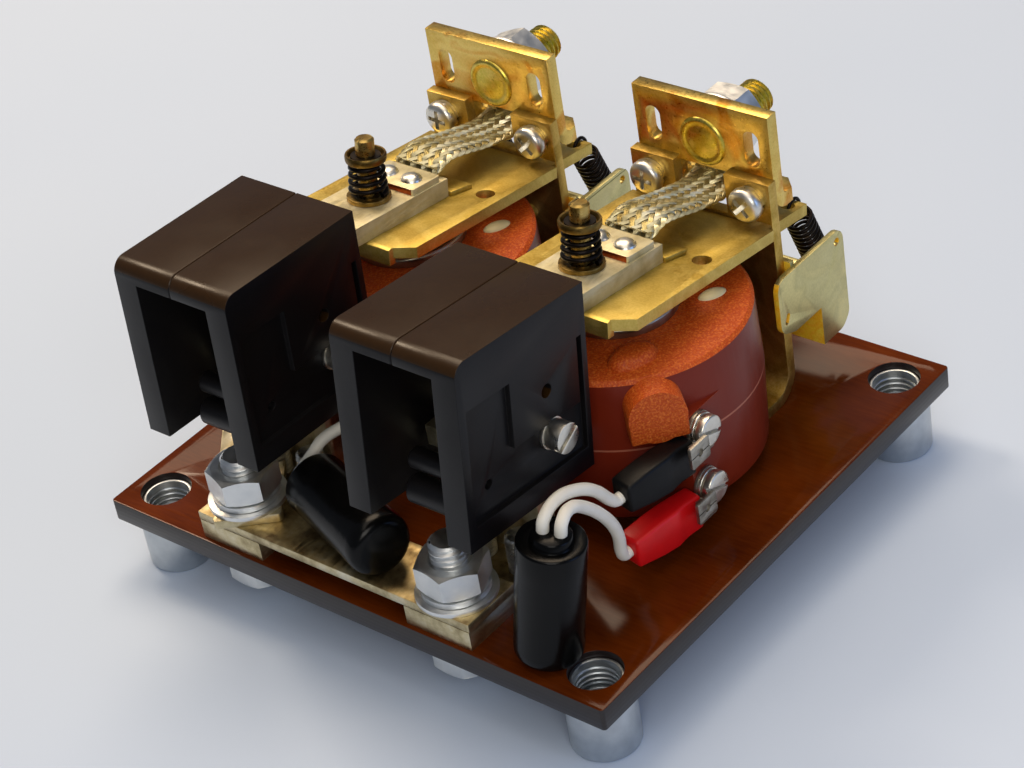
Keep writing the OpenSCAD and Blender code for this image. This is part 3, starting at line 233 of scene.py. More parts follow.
def coil_resin_top():
    """Filled polyester resin, the open face of the mould: orange red, painted lighter than the side
    as the lit top of the coil, with a sandy skin of filler grains whose paler flecks are painted
    glints."""
    material, sheet, place = begin("coil_resin_cast_face")
    sand = add(sheet, "TexVoronoi", {"Vector": place, "Scale": per(0.55)})
    clouds = add(sheet, "TexNoise", {"Vector": place, "Scale": per(9), "Detail": 3})
    grains = add(sheet, "TexNoise", {"Vector": place, "Scale": per(0.4), "Detail": 2})
    deep = add(sheet, "Mix", {"Factor": clouds.outputs["Fac"], "A": "#9c3203", "B": "#c04e0c"},
               data_type="RGBA")
    fleck = add(sheet, "MapRange", {"Value": grains.outputs["Fac"], "From Min": 0.45,
                                    "From Max": 0.85})
    shade = add(sheet, "Mix", {"Factor": fleck.outputs[0], "A": deep.outputs[2],
                               "B": "#e27a2c"}, data_type="RGBA")
    glint = add(sheet, "MapRange", {"Value": sand.outputs["Distance"], "To Min": 0.35,
                                    "To Max": 0.8})
    return close(material, sheet, {"Base Color": shade.outputs[2], "Roughness": glint.outputs[0],
                                   "Specular IOR Level": 0.3}, sand.outputs["Distance"], 0.5, 0.2)


def coil_resin_side():
    """The same resin against the polished mould: smooth, dark oxide red with a soft sheen, the red
    painted darker as the shaded side of the coil, and a paler hair of flash where the mould's halves
    met."""
    material, sheet, place = begin("coil_resin_moulded_side")
    clouds = add(sheet, "TexNoise", {"Vector": place, "Scale": per(12), "Detail": 4})
    shade = add(sheet, "Mix", {"Factor": clouds.outputs["Fac"], "A": "#661a0c", "B": "#7c2812"},
                data_type="RGBA")
    height = add(sheet, "SeparateXYZ", {"Vector": place})
    parting = add(sheet, "Math", {0: height.outputs["Z"], 1: PARTING_Z * MM,
                                  2: PARTING_HALF * MM}, operation="COMPARE")
    flash = add(sheet, "Mix", {"Factor": parting.outputs[0], "A": shade.outputs[2],
                               "B": "#a5604a"}, data_type="RGBA")
    flow = add(sheet, "TexNoise", {"Vector": place, "Scale": per(2.5), "Detail": 3})
    worn = add(sheet, "MapRange", {"Value": flow.outputs["Fac"], "To Min": 0.26, "To Max": 0.4})
    return close(material, sheet, {"Base Color": flash.outputs[2], "Roughness": worn.outputs[0],
                                   "Specular IOR Level": 0.25}, flow.outputs["Fac"], 0.05, 0.3)


def chute_moulding(name, dark, pale, rough):
    """Phenolic moulding compound: near black, faintly mottled by its wood flour, with hair
    scratches from handling."""
    material, sheet, place = begin(name)
    flour = add(sheet, "TexNoise", {"Vector": place, "Scale": per(1.2), "Detail": 5,
                                    "Roughness": 0.7})
    clouds = add(sheet, "TexNoise", {"Vector": place, "Scale": per(14), "Detail": 2})
    shade = add(sheet, "Mix", {"Factor": flour.outputs["Fac"], "A": dark, "B": pale},
                data_type="RGBA")
    slant = add(sheet, "Mapping", {"Vector": place, "Rotation": (0.3, 0.2, 0.9),
                                   "Scale": (1, 0.03, 1)})
    hairs = add(sheet, "TexNoise", {"Vector": slant.outputs[0], "Scale": per(0.5), "Detail": 2})
    worn = add(sheet, "MapRange", {"Value": clouds.outputs["Fac"], "From Min": 0.3,
                                   "From Max": 0.7, "To Min": rough, "To Max": rough + 0.12})
    height = add(sheet, "Math", {0: flour.outputs["Fac"], 1: hairs.outputs["Fac"]},
                 operation="ADD")
    return close(material, sheet, {"Base Color": shade.outputs[2], "Roughness": worn.outputs[0],
                                   "Specular IOR Level": 0.22}, height.outputs[0], 0.05, 0.2)


def soft_plastic(name, shade, deep, rough, gloss=0.35):
    """Moulded or drawn vinyl: even colour with faint clouds, a skin that is a little uneven
    and catches light softly."""
    material, sheet, place = begin(name)
    clouds = add(sheet, "TexNoise", {"Vector": place, "Scale": per(4), "Detail": 3})
    tint = add(sheet, "Mix", {"Factor": clouds.outputs["Fac"], "A": deep, "B": shade},
               data_type="RGBA")
    skin = add(sheet, "TexNoise", {"Vector": place, "Scale": per(0.8), "Detail": 3})
    worn = add(sheet, "MapRange", {"Value": skin.outputs["Fac"], "To Min": rough,
                                   "To Max": rough + 0.15})
    return close(material, sheet, {"Base Color": tint.outputs[2], "Roughness": worn.outputs[0],
                                   "Specular IOR Level": gloss}, skin.outputs["Fac"], 0.1, 0.2)


BOARD_FACE = laminate_pressed_face()
BOARD_EDGE = laminate_sawn_edge()
SPACER_METAL = turned_metal("aluminium_bar_turned", "#a4aab0", "#d2d7da", 0.3)
ZINC = turned_metal("steel_zinc_plated_bright", "#cfd2d3", "#f0f1ef", 0.3)
SCREW_ZINC = turned_metal("steel_screw_zinc_plated", "#c6c1b4", "#efebe0", 0.24)
BAR_METAL = rolled_bar("copper_bar_tinned_rolled", "#ddd6c0", "#c8bb96", "#8b7b58", 0.3)
BAR_COPPER = rolled_bar("copper_bar_bare_oxidised", "#d9cda8", "#bda878", "#6b5030", 0.34)
FINGER_METAL = rolled_bar("copper_finger_silver_plated", "#e6dfc4", "#d9cfaa", "#c2b68c", 0.5)
SILVER = rolled_bar("silver_contact_sintered", "#dedad0", "#c4bfb2", "#8f897c", 0.35)
ARMATURE_ZINC = chromated("steel_zinc_olive_chromate",
                          ["#b79c46", "#c9ad52", "#d4ba62", "#c1a34a"], 0.42, 16)
FLAG_ZINC = chromated("steel_sheet_zinc_yellow_chromate",
                      ["#c0b882", "#cdc58e", "#c5bc84", "#dacf92"], 0.34, 14)
# The flaps get a bright orange yellow: painted light on faces that lie in shade.
FLAP_ZINC = chromated("steel_flap_zinc_orange_chromate",
                      ["#ffbe08", "#ffca14", "#ffb804", "#ffd430"], 0.45, 6, 0.1)
PLATE_ZINC = chromated("steel_plate_zinc_gold_chromate",
                       ["#cba74c", "#dcb95c", "#e6c76c", "#cf9232"], 0.27, 13)
STUD_ZINC = chromated("steel_stud_zinc_green_chromate",
                      ["#c8ac40", "#d8c250", "#c4b040", "#dcc25c"], 0.26, 5)
YOKE_ZINC = chromated("iron_yoke_zinc_yellow_chromate",
                      ["#b08f40", "#c8a24c", "#d4b058", "#b8943e"], 0.36, 12)
POLE_IRON = turned_metal("iron_pole_face_turned", "#8c8878", "#b9b39c", 0.3)
# The coil's top and side are lit and shaded copies of one resin: the top painted lit orange, the
# side painted shaded red.
RESIN_TOP = coil_resin_top()
RESIN_SIDE = coil_resin_side()
CHUTE_SIDE = chute_moulding("phenolic_chute_moulded_side", "#080708", "#121011", 0.32)
# The roof is a browner copy of the same moulding: painted sheen of the light from above.
CHUTE_TOP = chute_moulding("phenolic_chute_moulded_top", "#231606", "#33200a", 0.25)
SPRING_STEEL = turned_metal("spring_wire_oil_blackened", "#0d0b0a", "#2a2523", 0.28)
BRAID_COPPER = rolled_bar("copper_wire_tinned_braided", "#f1ebd2", "#dbd1a8", "#b5a77a", 0.3)
COPPER_EDGE = rolled_bar("copper_lug_sheared_edge", "#c9723c", "#a9552a", "#6e3218", 0.3)
POST_BRASS = rolled_bar("brass_post_turned", "#d9bf78", "#b3924c", "#7c6030", 0.25)
CUP_BRONZE = rolled_bar("bronze_cup_pressed", "#a98e54", "#7d6534", "#54401f", 0.3)
TAB_TIN = rolled_bar("brass_blade_tinned", "#c2beb2", "#a9a498", "#7f7a6e", 0.35)
SLEEVE = soft_plastic("shrink_sleeve_black", "#070707", "#030303", 0.14, 0.16)
BOOT_BLACK = soft_plastic("vinyl_boot_black", "#0b0b0c", "#060607", 0.34, 0.2)
BOOT_RED = soft_plastic("vinyl_boot_red", "#dc1216", "#bd0b0f", 0.3)
LEAD_WHITE = soft_plastic("silicone_lead_white", "#efece2", "#dcd7c8", 0.35)
LACQUER = soft_plastic("sealing_lacquer_cream", "#e6dcae", "#cfc28c", 0.3)
CLIP_STEEL = turned_metal("steel_clip_blackened", "#2a241e", "#4a4034", 0.3)


# Working by hand in edit mode.

def put_down():
    """Leaves edit mode and lets go of everything."""
    if bpy.context.mode != "OBJECT":
        bpy.ops.object.mode_set(mode="OBJECT")
    bpy.ops.object.select_all(action="DESELECT")


def hold(piece):
    """Selects one piece alone."""
    put_down()
    piece.select_set(True)
    bpy.context.view_layer.objects.active = piece


def edit_all(piece):
    """Opens a piece with all of its mesh selected."""
    hold(piece)
    bpy.ops.object.mode_set(mode="EDIT")
    bpy.ops.mesh.select_all(action="SELECT")


def face_outwards():
    """Turns the faces of the open piece outwards, and leaves edit mode."""
    bpy.ops.mesh.select_all(action="SELECT")
    bpy.ops.mesh.normals_make_consistent(inside=False)
    bpy.ops.object.mode_set(mode="OBJECT")


def smooth(piece, angle=32):
    """Rounds the shading over all but the sharp edges."""
    hold(piece)
    bpy.ops.object.shade_smooth_by_angle(angle=math.radians(angle))


def apply(piece, kind, **settings):
    """Adds a modifier and applies it at once."""
    hold(piece)
    change = piece.modifiers.new("shaping", kind)
    for key, value in settings.items():
        setattr(change, key, value)
    bpy.ops.object.modifier_apply(modifier=change.name)


def ease(piece, width, steps=2, angle=30):
    """Breaks the sharp edges with a small round."""
    apply(piece, "BEVEL", width=width * MM, segments=steps, limit_method="ANGLE",
          angle_limit=math.radians(angle), use_clamp_overlap=True)


def round_edges(piece, width, steps, rule):
    """Rounds the edges that a rule picks, by their ends and the normals at both sides."""
    sides = {}
    for face in piece.data.polygons:
        for key in face.edge_keys:
            sides.setdefault(key, []).append(face.normal.copy())
    edit_all(piece)
    bpy.ops.mesh.select_mode(type="EDGE")
    bpy.ops.mesh.select_all(action="DESELECT")
    bpy.ops.object.mode_set(mode="OBJECT")
    for edge in piece.data.edges:
        a, b = (piece.data.vertices[i].co for i in edge.vertices)
        edge.select = len(sides[edge.key]) == 2 and rule(a, b, *sides[edge.key])
    bpy.ops.object.mode_set(mode="EDIT")
    bpy.ops.mesh.bevel(offset=width * MM, segments=steps, clamp_overlap=False)
    bpy.ops.mesh.select_mode(type="VERT")
    bpy.ops.object.mode_set(mode="OBJECT")


def on_seam(x):
    """Picks the edges of the plane where two moulded halves meet."""
    return lambda a, b, m, n: max(abs(a.x - x * MM), abs(b.x - x * MM)) < 1e-5 and m.dot(n) < 0.9


def blunt(axis):
    """Picks the edges along an axis where two faces meet at half a right angle."""
    return lambda a, b, m, n: (abs((b - a).normalized()[axis]) > 0.97
                               and 0.6 < m.dot(n) < 0.8)


def cut(piece, tool, operation="DIFFERENCE"):
    """Cuts a piece with a tool, which is used up."""
    apply(piece, "BOOLEAN", operation=operation, object=tool, solver="EXACT")
    bpy.data.objects.remove(tool)


def join(pieces):
    """Makes one piece of several."""
    put_down()
    for piece in pieces:
        piece.select_set(True)
    bpy.context.view_layer.objects.active = pieces[0]
    bpy.ops.object.join()
    return bpy.context.view_layer.objects.active


def seat(piece, at, way=(0, 0, 1), spin=0.0):
    """Stands a piece made along Z at a place, in millimetres, pointing some way."""
    stand = Vector((0, 0, 1)).rotation_difference(Vector(way)).to_matrix().to_4x4()
    piece.data.transform(Matrix.Translation(Vector(at) * MM) @ stand
                         @ Matrix.Rotation(math.radians(spin), 4, "Z"))
    piece.data.update()
    return piece


def block(sides, place=Matrix.Identity(4)):
    """Block from its three sides in millimetres, to cut with or to shape further."""
    put_down()
    bpy.ops.mesh.primitive_cube_add(size=1)
    piece = bpy.context.object
    piece.data.transform(place @ Matrix.Diagonal((*(side * MM for side in sides), 1)))
    return piece


def hexagon_bar(corner, height, middle):
    """Six-sided bar along Z from its corners' radius, its height and where its middle is."""
    put_down()
    bpy.ops.mesh.primitive_cylinder_add(vertices=6, radius=corner * MM, depth=height * MM,
                                        location=(0, 0, middle * MM))
    piece = bpy.context.object
    piece.data.transform(piece.matrix_basis)
    piece.matrix_basis = Matrix.Identity(4)
    return piece


def drawn(points):
    """A row of edges through points given as radius and height, in millimetres."""
    put_down()
    bpy.ops.mesh.primitive_plane_add(size=1 * MM)
    bpy.ops.object.mode_set(mode="EDIT")
    bpy.ops.mesh.merge(type="CENTER")
    here = (0.0, 0.0)
    for i, there in enumerate(points):
        if i:
            bpy.ops.mesh.extrude_vertices_move()
        bpy.ops.transform.translate(value=((there[0] - here[0]) * MM, 0, (there[1] - here[1]) * MM))
        here = there
    bpy.ops.object.mode_set(mode="OBJECT")
    return bpy.context.object


def turned(points, steps=48):
    """A solid of revolution about Z from its profile."""
    piece = drawn(points)
    edit_all(piece)
    bpy.ops.mesh.spin(steps=steps, angle=2 * math.pi, center=(0, 0, 0), axis=(0, 0, 1))
    bpy.ops.mesh.select_all(action="SELECT")
    bpy.ops.mesh.remove_doubles(threshold=1e-6)
    face_outwards()
    return piece


def threaded(radius, pitch, length, chamfer=0.8, steps=32):
    """Rod along Z with a rolled thread, cut flat at the foot and chamfered at the tip."""
    root = radius - 0.6 * pitch
    piece = drawn([(root, -pitch), (radius, -0.62 * pitch), (radius, -0.45 * pitch),
                   (root, -0.08 * pitch), (root, 0)])
    apply(piece, "SCREW", angle=2 * math.pi, screw_offset=pitch * MM, steps=steps,
          render_steps=steps, iterations=int(length / pitch) + 3, use_merge_vertices=True,
          merge_threshold=1e-6)
    for height, outer in ((0, False), (length, True)):
        edit_all(piece)
        bpy.ops.mesh.bisect(plane_co=(0, 0, height * MM), plane_no=(0, 0, 1), use_fill=True,
                            clear_inner=not outer, clear_outer=outer)
    bpy.ops.object.mode_set(mode="OBJECT")
    for point in piece.data.vertices:
        limit = (radius - chamfer + (length - point.co.z / MM)) * MM
        wide = point.co.xy.length
        if wide > limit:
            point.co.x *= limit / wide
            point.co.y *= limit / wide
    edit_all(piece)
    face_outwards()
    return piece


def hexagon(across, height, bore, both=True):
    """Hexagon nut or head along Z: chamfered corners, and a countersunk bore where one is
    asked for."""
    corner = across / 2 / math.cos(math.pi / 6)
    piece = hexagon_bar(corner, height, height / 2)
    flat = across / 2 * 0.96
    drop = (corner + 0.1 - flat) * 0.55
    low = [(0, 0), (flat, 0), (corner + 0.1, drop)] if both else [(0, -1), (corner + 0.1, -1)]
    barrel = turned(low + [(corner + 0.1, height - drop), (flat, height), (0, height)])
    cut(piece, barrel, "INTERSECT")
    if bore:
        lip = bore + 0.5
        cut(piece, turned([(0, -1), (lip + 1, -1), (lip, 0), (bore, lip - bore),
                           (bore, height - lip + bore), (lip, height), (lip + 1, height + 1),
                           (0, height + 1)]))
    ease(piece, 0.12, 1, 25)
    return piece


def recessed_head(diameter, height):
    """Pan head along Z with its seat at the foot, and a pressed cross in its top."""
    r = diameter / 2
    head = turned([(0, 0), (r - 0.15, 0), (r, 0.2), (r, height * 0.5), (r * 0.96, height * 0.72),
                   (r * 0.84, height * 0.9), (r * 0.6, height), (0, height)])
    for angle in (20, 110):
        cut(head, block((1.25 * r, 0.95, height * 1.1), Matrix.Translation((0, 0, height * MM))
                        @ Matrix.Rotation(math.radians(angle), 4, "Z")))
    ease(head, 0.08, 1, 35)
    return head


def split_washer(outer, bore, height, rise):
    """Spring washer along Z: one turn of square wire, its ends a little apart."""
    piece = drawn([(bore, 0), (outer, 0), (outer, height), (bore, height), (bore, 0.001)])
    apply(piece, "SCREW", angle=math.radians(350), screw_offset=rise * MM, steps=40,
          render_steps=40, iterations=1)
    edit_all(piece)
    bpy.ops.mesh.remove_doubles(threshold=2e-6)
    bpy.ops.mesh.select_all(action="DESELECT")
    bpy.ops.mesh.select_non_manifold()
    bpy.ops.mesh.edge_face_add()
    face_outwards()
    return piece


def wires(rows, radius, sides):
    """Round wires through rows of points in millimetres, as one mesh."""
    curve = bpy.data.curves.new("wire", "CURVE")
    curve.dimensions = "3D"
    curve.bevel_depth = radius * MM
    curve.bevel_resolution = sides
    curve.use_fill_caps = True
    for row in rows:
        line = curve.splines.new("POLY")
        line.points.add(len(row) - 1)
        for point, at in zip(line.points, row):
            point.co = (at[0] * MM, at[1] * MM, at[2] * MM, 1)
    hold(put_in("wire", curve))
    bpy.ops.object.convert(target="MESH")
    piece = bpy.context.object
    edit_all(piece)
    bpy.ops.mesh.remove_doubles(threshold=1e-7)
    bpy.ops.object.mode_set(mode="OBJECT")
    return piece


def flowing(points, steps):
    """Points on one smooth curve through the given ones."""
    rows = [Vector(p) for p in points]
    rows = [2 * rows[0] - rows[1]] + rows + [2 * rows[-1] - rows[-2]]
    out = []
    for a, b, c, d in zip(rows, rows[1:], rows[2:], rows[3:]):
        for i in range(steps):
            t = i / steps
            out.append(0.5 * (2 * b + (c - a) * t + (2 * a - 5 * b + 4 * c - d) * t * t
                              + (3 * b - a - 3 * c + d) * t ** 3))
    return out + [rows[-2]]


def paint(piece, finish, second=None, rule=None):
    """Gives a piece its finish, and a second one to the faces that a rule picks."""
    piece.data.materials.clear()
    piece.data.materials.append(finish)
    if second:
        piece.data.materials.append(second)
    for face in piece.data.polygons:
        face.material_index = 1 if second and rule(face) else 0


def hand_in(piece, name, nodes, slot, finish, second=None, rule=None, angle=32, body=None):
    """Names and finishes a piece, lets it ride, and puts it in the place of its CAD nodes. A
    new piece has no nodes, one painted before has no finish, and one that rides no body an empty
    body."""
    piece.name = name
    smooth(piece, angle)
    if finish:
        paint(piece, finish, second, rule)
    if body is None:
        body = frame["nodes"][nodes[0]]["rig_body"]
    if body:
        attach(piece, body)
    if nodes:
        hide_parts(*nodes)
    return piece


def eased(node, width, slot, finish, second=None, rule=None, steps=2, first=None):
    """A copy of a CAD node with its edges broken as tumbling, plating or moulding does. First
    come the larger rounds of chosen edges: width, steps and rule."""
    piece = put_in(node, frame["nodes"][node].data.copy())
    edit_all(piece)
    bpy.ops.mesh.customdata_custom_splitnormals_clear()
    bpy.ops.mesh.remove_doubles(threshold=1e-6)
    bpy.ops.mesh.dissolve_limited(angle_limit=math.radians(0.6))
    bpy.ops.object.mode_set(mode="OBJECT")
    if first:
        round_edges(piece, *first)
    ease(piece, width, steps)
    return hand_in(piece, node + "_eased", [node], slot, finish, second, rule)


# Places that the source gives, in millimetres.
UNIT = {1: -30.0, 2: 25.0}
CORNER_X, CORNER_Y = 57, 51.5
SPACER_TOP = 12.5
BOLT_Y = -52.0
STACK = {1: 26.0, 2: 24.0}
FLAT_WASHER = 1.0
LOCK_RING = 1.5
CLAMP_SIDE, CLAMP_Y = 5.2, -38.25
COIL_Y = 6.3
COIL_TOP = 54.2
SPOUT_TURN = math.radians(-41)
SPOUT_REACH = 27
PLATE_Y = 38.0
STUD_Z = 74.1
REAR_NUT_Y = 44.4
EAR_SIDE, EAR_Z = 12.2, 64.9
EAR_FACE_Y, EAR_RING_Y = 34.7, 35.5
HINGE = (36.75, 56.8)
OPEN = math.radians(8.2)
# Straight up from the armature, once it is open.
SWING_WAY = Vector((0, math.sin(OPEN), math.cos(OPEN)))
POST_Y = -4.25
FINGER_TOP = 63.3

# Standard hardware in millimetres, each thread as its radius and pitch.
M8 = (4.0, 1.25)
M6 = (3.0, 1.0)
M4 = (2.0, 0.7)
M3 = (1.5, 0.5)
M8_ACROSS = 13
M8_HEAD = 5.3
M8_NUT = 6
M8_BORE = 4.05


def opened(y, z):
    """A point of the closed drawing, after the armature has swung open."""
    dy, dz = y - HINGE[0], z - HINGE[1]
    return (HINGE[0] + dy * math.cos(OPEN) + dz * math.sin(OPEN),
            HINGE[1] - dy * math.sin(OPEN) + dz * math.cos(OPEN))


def is_side(face):
    """Picks the upright faces, which were sawn or sheared."""
    return abs(face.normal.z) < 0.5


# Board, spacers and bars.
TAP_RADIUS = 4.42
TAP_PITCH = 1.25
TAP_TURNS = 11
HALF_TURN = 12


def tapped_row(x, y):
    """Thread line up the bore of one spacer."""
    return [(x + TAP_RADIUS * math.cos(i * math.pi / HALF_TURN),
             y + TAP_RADIUS * math.sin(i * math.pi / HALF_TURN),
             1 + TAP_PITCH * i / (2 * HALF_TURN)) for i in range(2 * HALF_TURN * TAP_TURNS)]


def is_bare_foot(face):
    """Picks the worn top of a contact bar's foot."""
    return face.normal.z > 0.7 and face.center.z < 30 * MM


eased("base_board", 0.3, "board", BOARD_FACE, BOARD_EDGE, is_side)
eased("spacers", 0.3, "spacer_metal", SPACER_METAL)
rows = [tapped_row(x, y) for x in (-CORNER_X, CORNER_X) for y in (-CORNER_Y, CORNER_Y)]
hand_in(wires(rows, 0.3, 1), "spacer_threads", [], "spacer_metal", SPACER_METAL, angle=60,
        body="base")
eased("terminal_washers", 0.15, "zinc_hardware", ZINC)
eased("link_bar", 0.25, "copper_bar", BAR_COPPER, BAR_METAL, is_side)
eased("side_strap", 0.25, "copper_bar", BAR_METAL)
for n in UNIT:
    eased(f"contact_bar_{n}", 0.3, "copper_bar", BAR_METAL, BAR_COPPER, is_bare_foot)
eased("fixed_tips", 0.2, "contact_silver", SILVER)

# Front bolts, nuts and spring washers.
BOLT_LENGTH = 24.5
FRONT_SPIN = {1: 12, 2: 22}
bolts = []
nuts = []
locks = []
for n, x in UNIT.items():
    foot = (x, BOLT_Y, SPACER_TOP)
    bolts.append(seat(threaded(*M8, BOLT_LENGTH), foot))
    bolts.append(seat(hexagon(M8_ACROSS, M8_HEAD, 0, False), foot, (0, 0, -1)))
    nuts.append(seat(hexagon(M8_ACROSS, M8_NUT, M8_BORE),
                     (x, BOLT_Y, STACK[n] + FLAT_WASHER + LOCK_RING), spin=FRONT_SPIN[n]))
    locks.append(seat(split_washer(7.0, 4.2, 1.2, 0.3), (x, BOLT_Y, STACK[n] + FLAT_WASHER),
                      spin=100))
hand_in(join(bolts), "threaded_bolts", ["terminal_bolts"], "zinc_hardware", ZINC)
hand_in(join(nuts), "front_nuts", ["terminal_nuts"], "zinc_hardware", ZINC)
hand_in(join(locks), "front_lock_rings", ["spring_washers"], "zinc_hardware", ZINC)


# Clamp screws from below, their threaded ends standing out of the bars.
CLAMP_LENGTH = 17.5


def socket_cap():
    """Socket head along Z from its seat."""
    cap = turned([(0, 0), (4.9, 0), (5, 0.2), (5, 5.4), (4.5, 6), (0, 6)])
    cut(cap, hexagon_bar(2.9, 6, 6))
    return cap


screws = []
for x in UNIT.values():
    for side in (-CLAMP_SIDE, CLAMP_SIDE):
        foot = (x + side, CLAMP_Y, SPACER_TOP)
        screws.append(seat(threaded(*M6, CLAMP_LENGTH, 0.6), foot))
        screws.append(seat(socket_cap(), foot, (0, 0, -1)))
hand_in(join(screws), "threaded_clamp_screws", ["clamp_screws"], "zinc_hardware", SCREW_ZINC)


# Iron, coils and chutes. The lump's and the spot's X count from the unit's middle.
SKIRT = (8.9, 11.5, 5.6)
SKIRT_Z = 45.6
SPOUT_FROM, SPOUT_LOW = 27.3, 42.5
LUMP_X, LUMP_Y = 13.2, -7.2
SPOT_X, SPOT_Y = 14.4, 17.4


def is_cast_face(x):
    """Picks the open face of a coil's mould, with the spout that lies in it, for the painted lit
    colour.
    """
    def rule(face):
        spout = (Vector((face.center.x, face.center.y)) - Vector((x, COIL_Y)) * MM).length
        return (face.normal.z > 0.5 and face.center.z > 50 * MM
                or spout > SPOUT_FROM * MM and face.center.z > SPOUT_LOW * MM)
    return rule


def is_chute_top(face):
    """Picks the roof of a chute, with its rounded shoulders, which is browner: painted sheen of the
    light from above.
    """
    return face.normal.z > 0.3 and face.center.z > 60 * MM


def overflow_lump(x):
    """Oval lump of resin beside a coil's spout, a little askew."""
    lump = turned([(0, -0.3), (4.4, -0.3), (4.2, 0.5), (3.6, 1.5), (2.8, 2.0), (1.4, 2.2), (0, 2.2)],
                  32)
    lump.data.transform(Matrix.Diagonal((0.85, 1.25, 1, 1)))
    return seat(lump, (x + LUMP_X, LUMP_Y, COIL_TOP), spin=-20)


def spout_skirt(x):
    """Lower half of a coil's spout, in the same sandy resin as its top, with its painted lit colour.
    """
    skirt = block(SKIRT, Matrix.Translation(Vector((x, COIL_Y, SKIRT_Z)) * MM)
                  @ Matrix.Rotation(SPOUT_TURN, 4, "Z")
                  @ Matrix.Translation((SPOUT_REACH * MM, 0, 0)))
    ease(skirt, 0.4)
    return skirt


def lacquer_spot(x):
    """Drop of sealing lacquer on a coil's top, run a little to one side."""
    spot = turned([(0, -0.2), (2.6, -0.2), (2.5, 0.15), (2.0, 0.5), (1.2, 0.7), (0, 0.75)], 24)
    spot.data.transform(Matrix.Diagonal((0.7, 1.2, 1, 1)))
    return seat(spot, (x + SPOT_X, SPOT_Y, COIL_TOP), spin=-25)


for n, x in UNIT.items():
    eased(f"yoke_{n}", 0.25, "yellow_zinc", YOKE_ZINC)
    eased(f"core_{n}", 0.2, "core_iron", POLE_IRON)
    # The open face and spout take the painted lit orange, the rest the painted shaded red.
    eased(f"coil_{n}", 0.5, "coil_resin", RESIN_SIDE, RESIN_TOP, is_cast_face(x), 3)
    # The lump and the skirt take the painted lit orange of the top.
    hand_in(join([overflow_lump(x), spout_skirt(x)]), f"coil_bosses_{n}", [], "coil_resin",
            RESIN_TOP, angle=50, body="base")
    hand_in(lacquer_spot(x), f"coil_lacquer_{n}", [], "coil_resin", LACQUER, angle=50,
            body="base")
    for side in ("left", "right"):
        # The roofs take the browner colour, which is painted sheen of the light from above.
        eased(f"chute_{side}_{n}", 0.5, "chute_moulding", CHUTE_SIDE, CHUTE_TOP,
              is_chute_top, 3, first=(0.22, 1, on_seam(x)))
eased("core_screws", 0.12, "zinc_hardware", ZINC)
eased("chute_screws", 0.1, "zinc_hardware", SCREW_ZINC)


# Rear terminals.
STUD_LENGTH = 19.9
REAR_SPIN = {1: 8, 2: 30}
EAR_SCREW_LENGTH = 5.9


def stud_disc():
    """Riveted head of a stud along Z, with the ring that its tool leaves."""
    return turned([(0, 0), (5.5, 0), (5.35, 0.3), (5, 0.55), (4.6, 0.58), (4.2, 0.42),
                   (3.9, 0.3), (3.4, 0.32), (2.6, 0.5), (1.2, 0.6), (0, 0.6)])


def is_flap(face):
    """Picks the faces of a flag that look forward or back, which get a bright painted light."""
    return abs(face.normal.y) > 0.7


studs = []
rear_nuts = []
ear_heads = []
for n, x in UNIT.items():
    middle = (x, PLATE_Y, STUD_Z)
    studs.append(seat(threaded(*M8, STUD_LENGTH), middle, (0, 1, 0)))
    studs.append(seat(stud_disc(), middle, (0, -1, 0)))
    rear_nuts.append(seat(hexagon(M8_ACROSS, M8_NUT, M8_BORE), (x, REAR_NUT_Y, STUD_Z),
                          (0, 1, 0), REAR_SPIN[n]))
    for side in (-EAR_SIDE, EAR_SIDE):
        face = (x + side, EAR_FACE_Y, EAR_Z)
        ear_heads.append(seat(recessed_head(7.4, 2.6), face, (0, -1, 0), side * 2))
        ear_heads.append(seat(split_washer(3.4, 2.1, 0.6, 0.15), (x + side, EAR_RING_Y, EAR_Z),
                              (0, -1, 0)))
        ear_heads.append(seat(threaded(*M4, EAR_SCREW_LENGTH, 0.3, 20), face, (0, 1, 0)))
    eased(f"terminal_plate_{n}", 0.3, "gold_zinc", PLATE_ZINC)
    # The flaps behind the notch take the bright painted light.
    eased(f"switch_bracket_{n}", 0.15, "yellow_zinc", FLAG_ZINC, FLAP_ZINC, is_flap,
          first=(1.1, 4, blunt(0)))
hand_in(join(studs), "threaded_studs", ["terminal_studs"], "gold_zinc", STUD_ZINC)
hand_in(join(rear_nuts), "rear_nuts", ["stud_nuts"], "zinc_hardware", ZINC)
hand_in(join(ear_heads), "ear_screws_recessed", ["ear_screws"], "zinc_hardware", SCREW_ZINC)
eased("braid_ends", 0.4, "braid_copper", BRAID_COPPER)


# Coil terminals, whose X counts from the unit's middle.
TAB_Y = -6.6
TAB_HEIGHTS = (42.0, 28.5)
HEAD_SEAT_X = 27.1
SCREW_FOOT_X = 27.9
SCREW_LENGTH = 4.6
GROOVE_X, GROOVE_Y = 30.75, -11.7
GROOVE_HEIGHTS = (40.8, 27.3)
HEAD_TOP = 2.8


def cheese_head():
    """Flat slotted head with its washer, along Z from the washer's seat, a dark gap between."""
    head = turned([(0, 0), (3.3, 0), (3.4, 0.12), (3.4, 0.62), (3.25, 0.75), (2.7, 0.78),
                   (2.7, 0.95), (3.15, 0.98), (3.28, 1.12), (3.28, 2.5), (3.1, 2.72),
                   (2.7, HEAD_TOP), (0, HEAD_TOP)])
    cut(head, block((8, 0.8, 1.6), Matrix.Translation((0, 0, HEAD_TOP * MM))
                    @ Matrix.Rotation(math.radians(70), 4, "Z")))
    ease(head, 0.06, 1, 35)
    return head


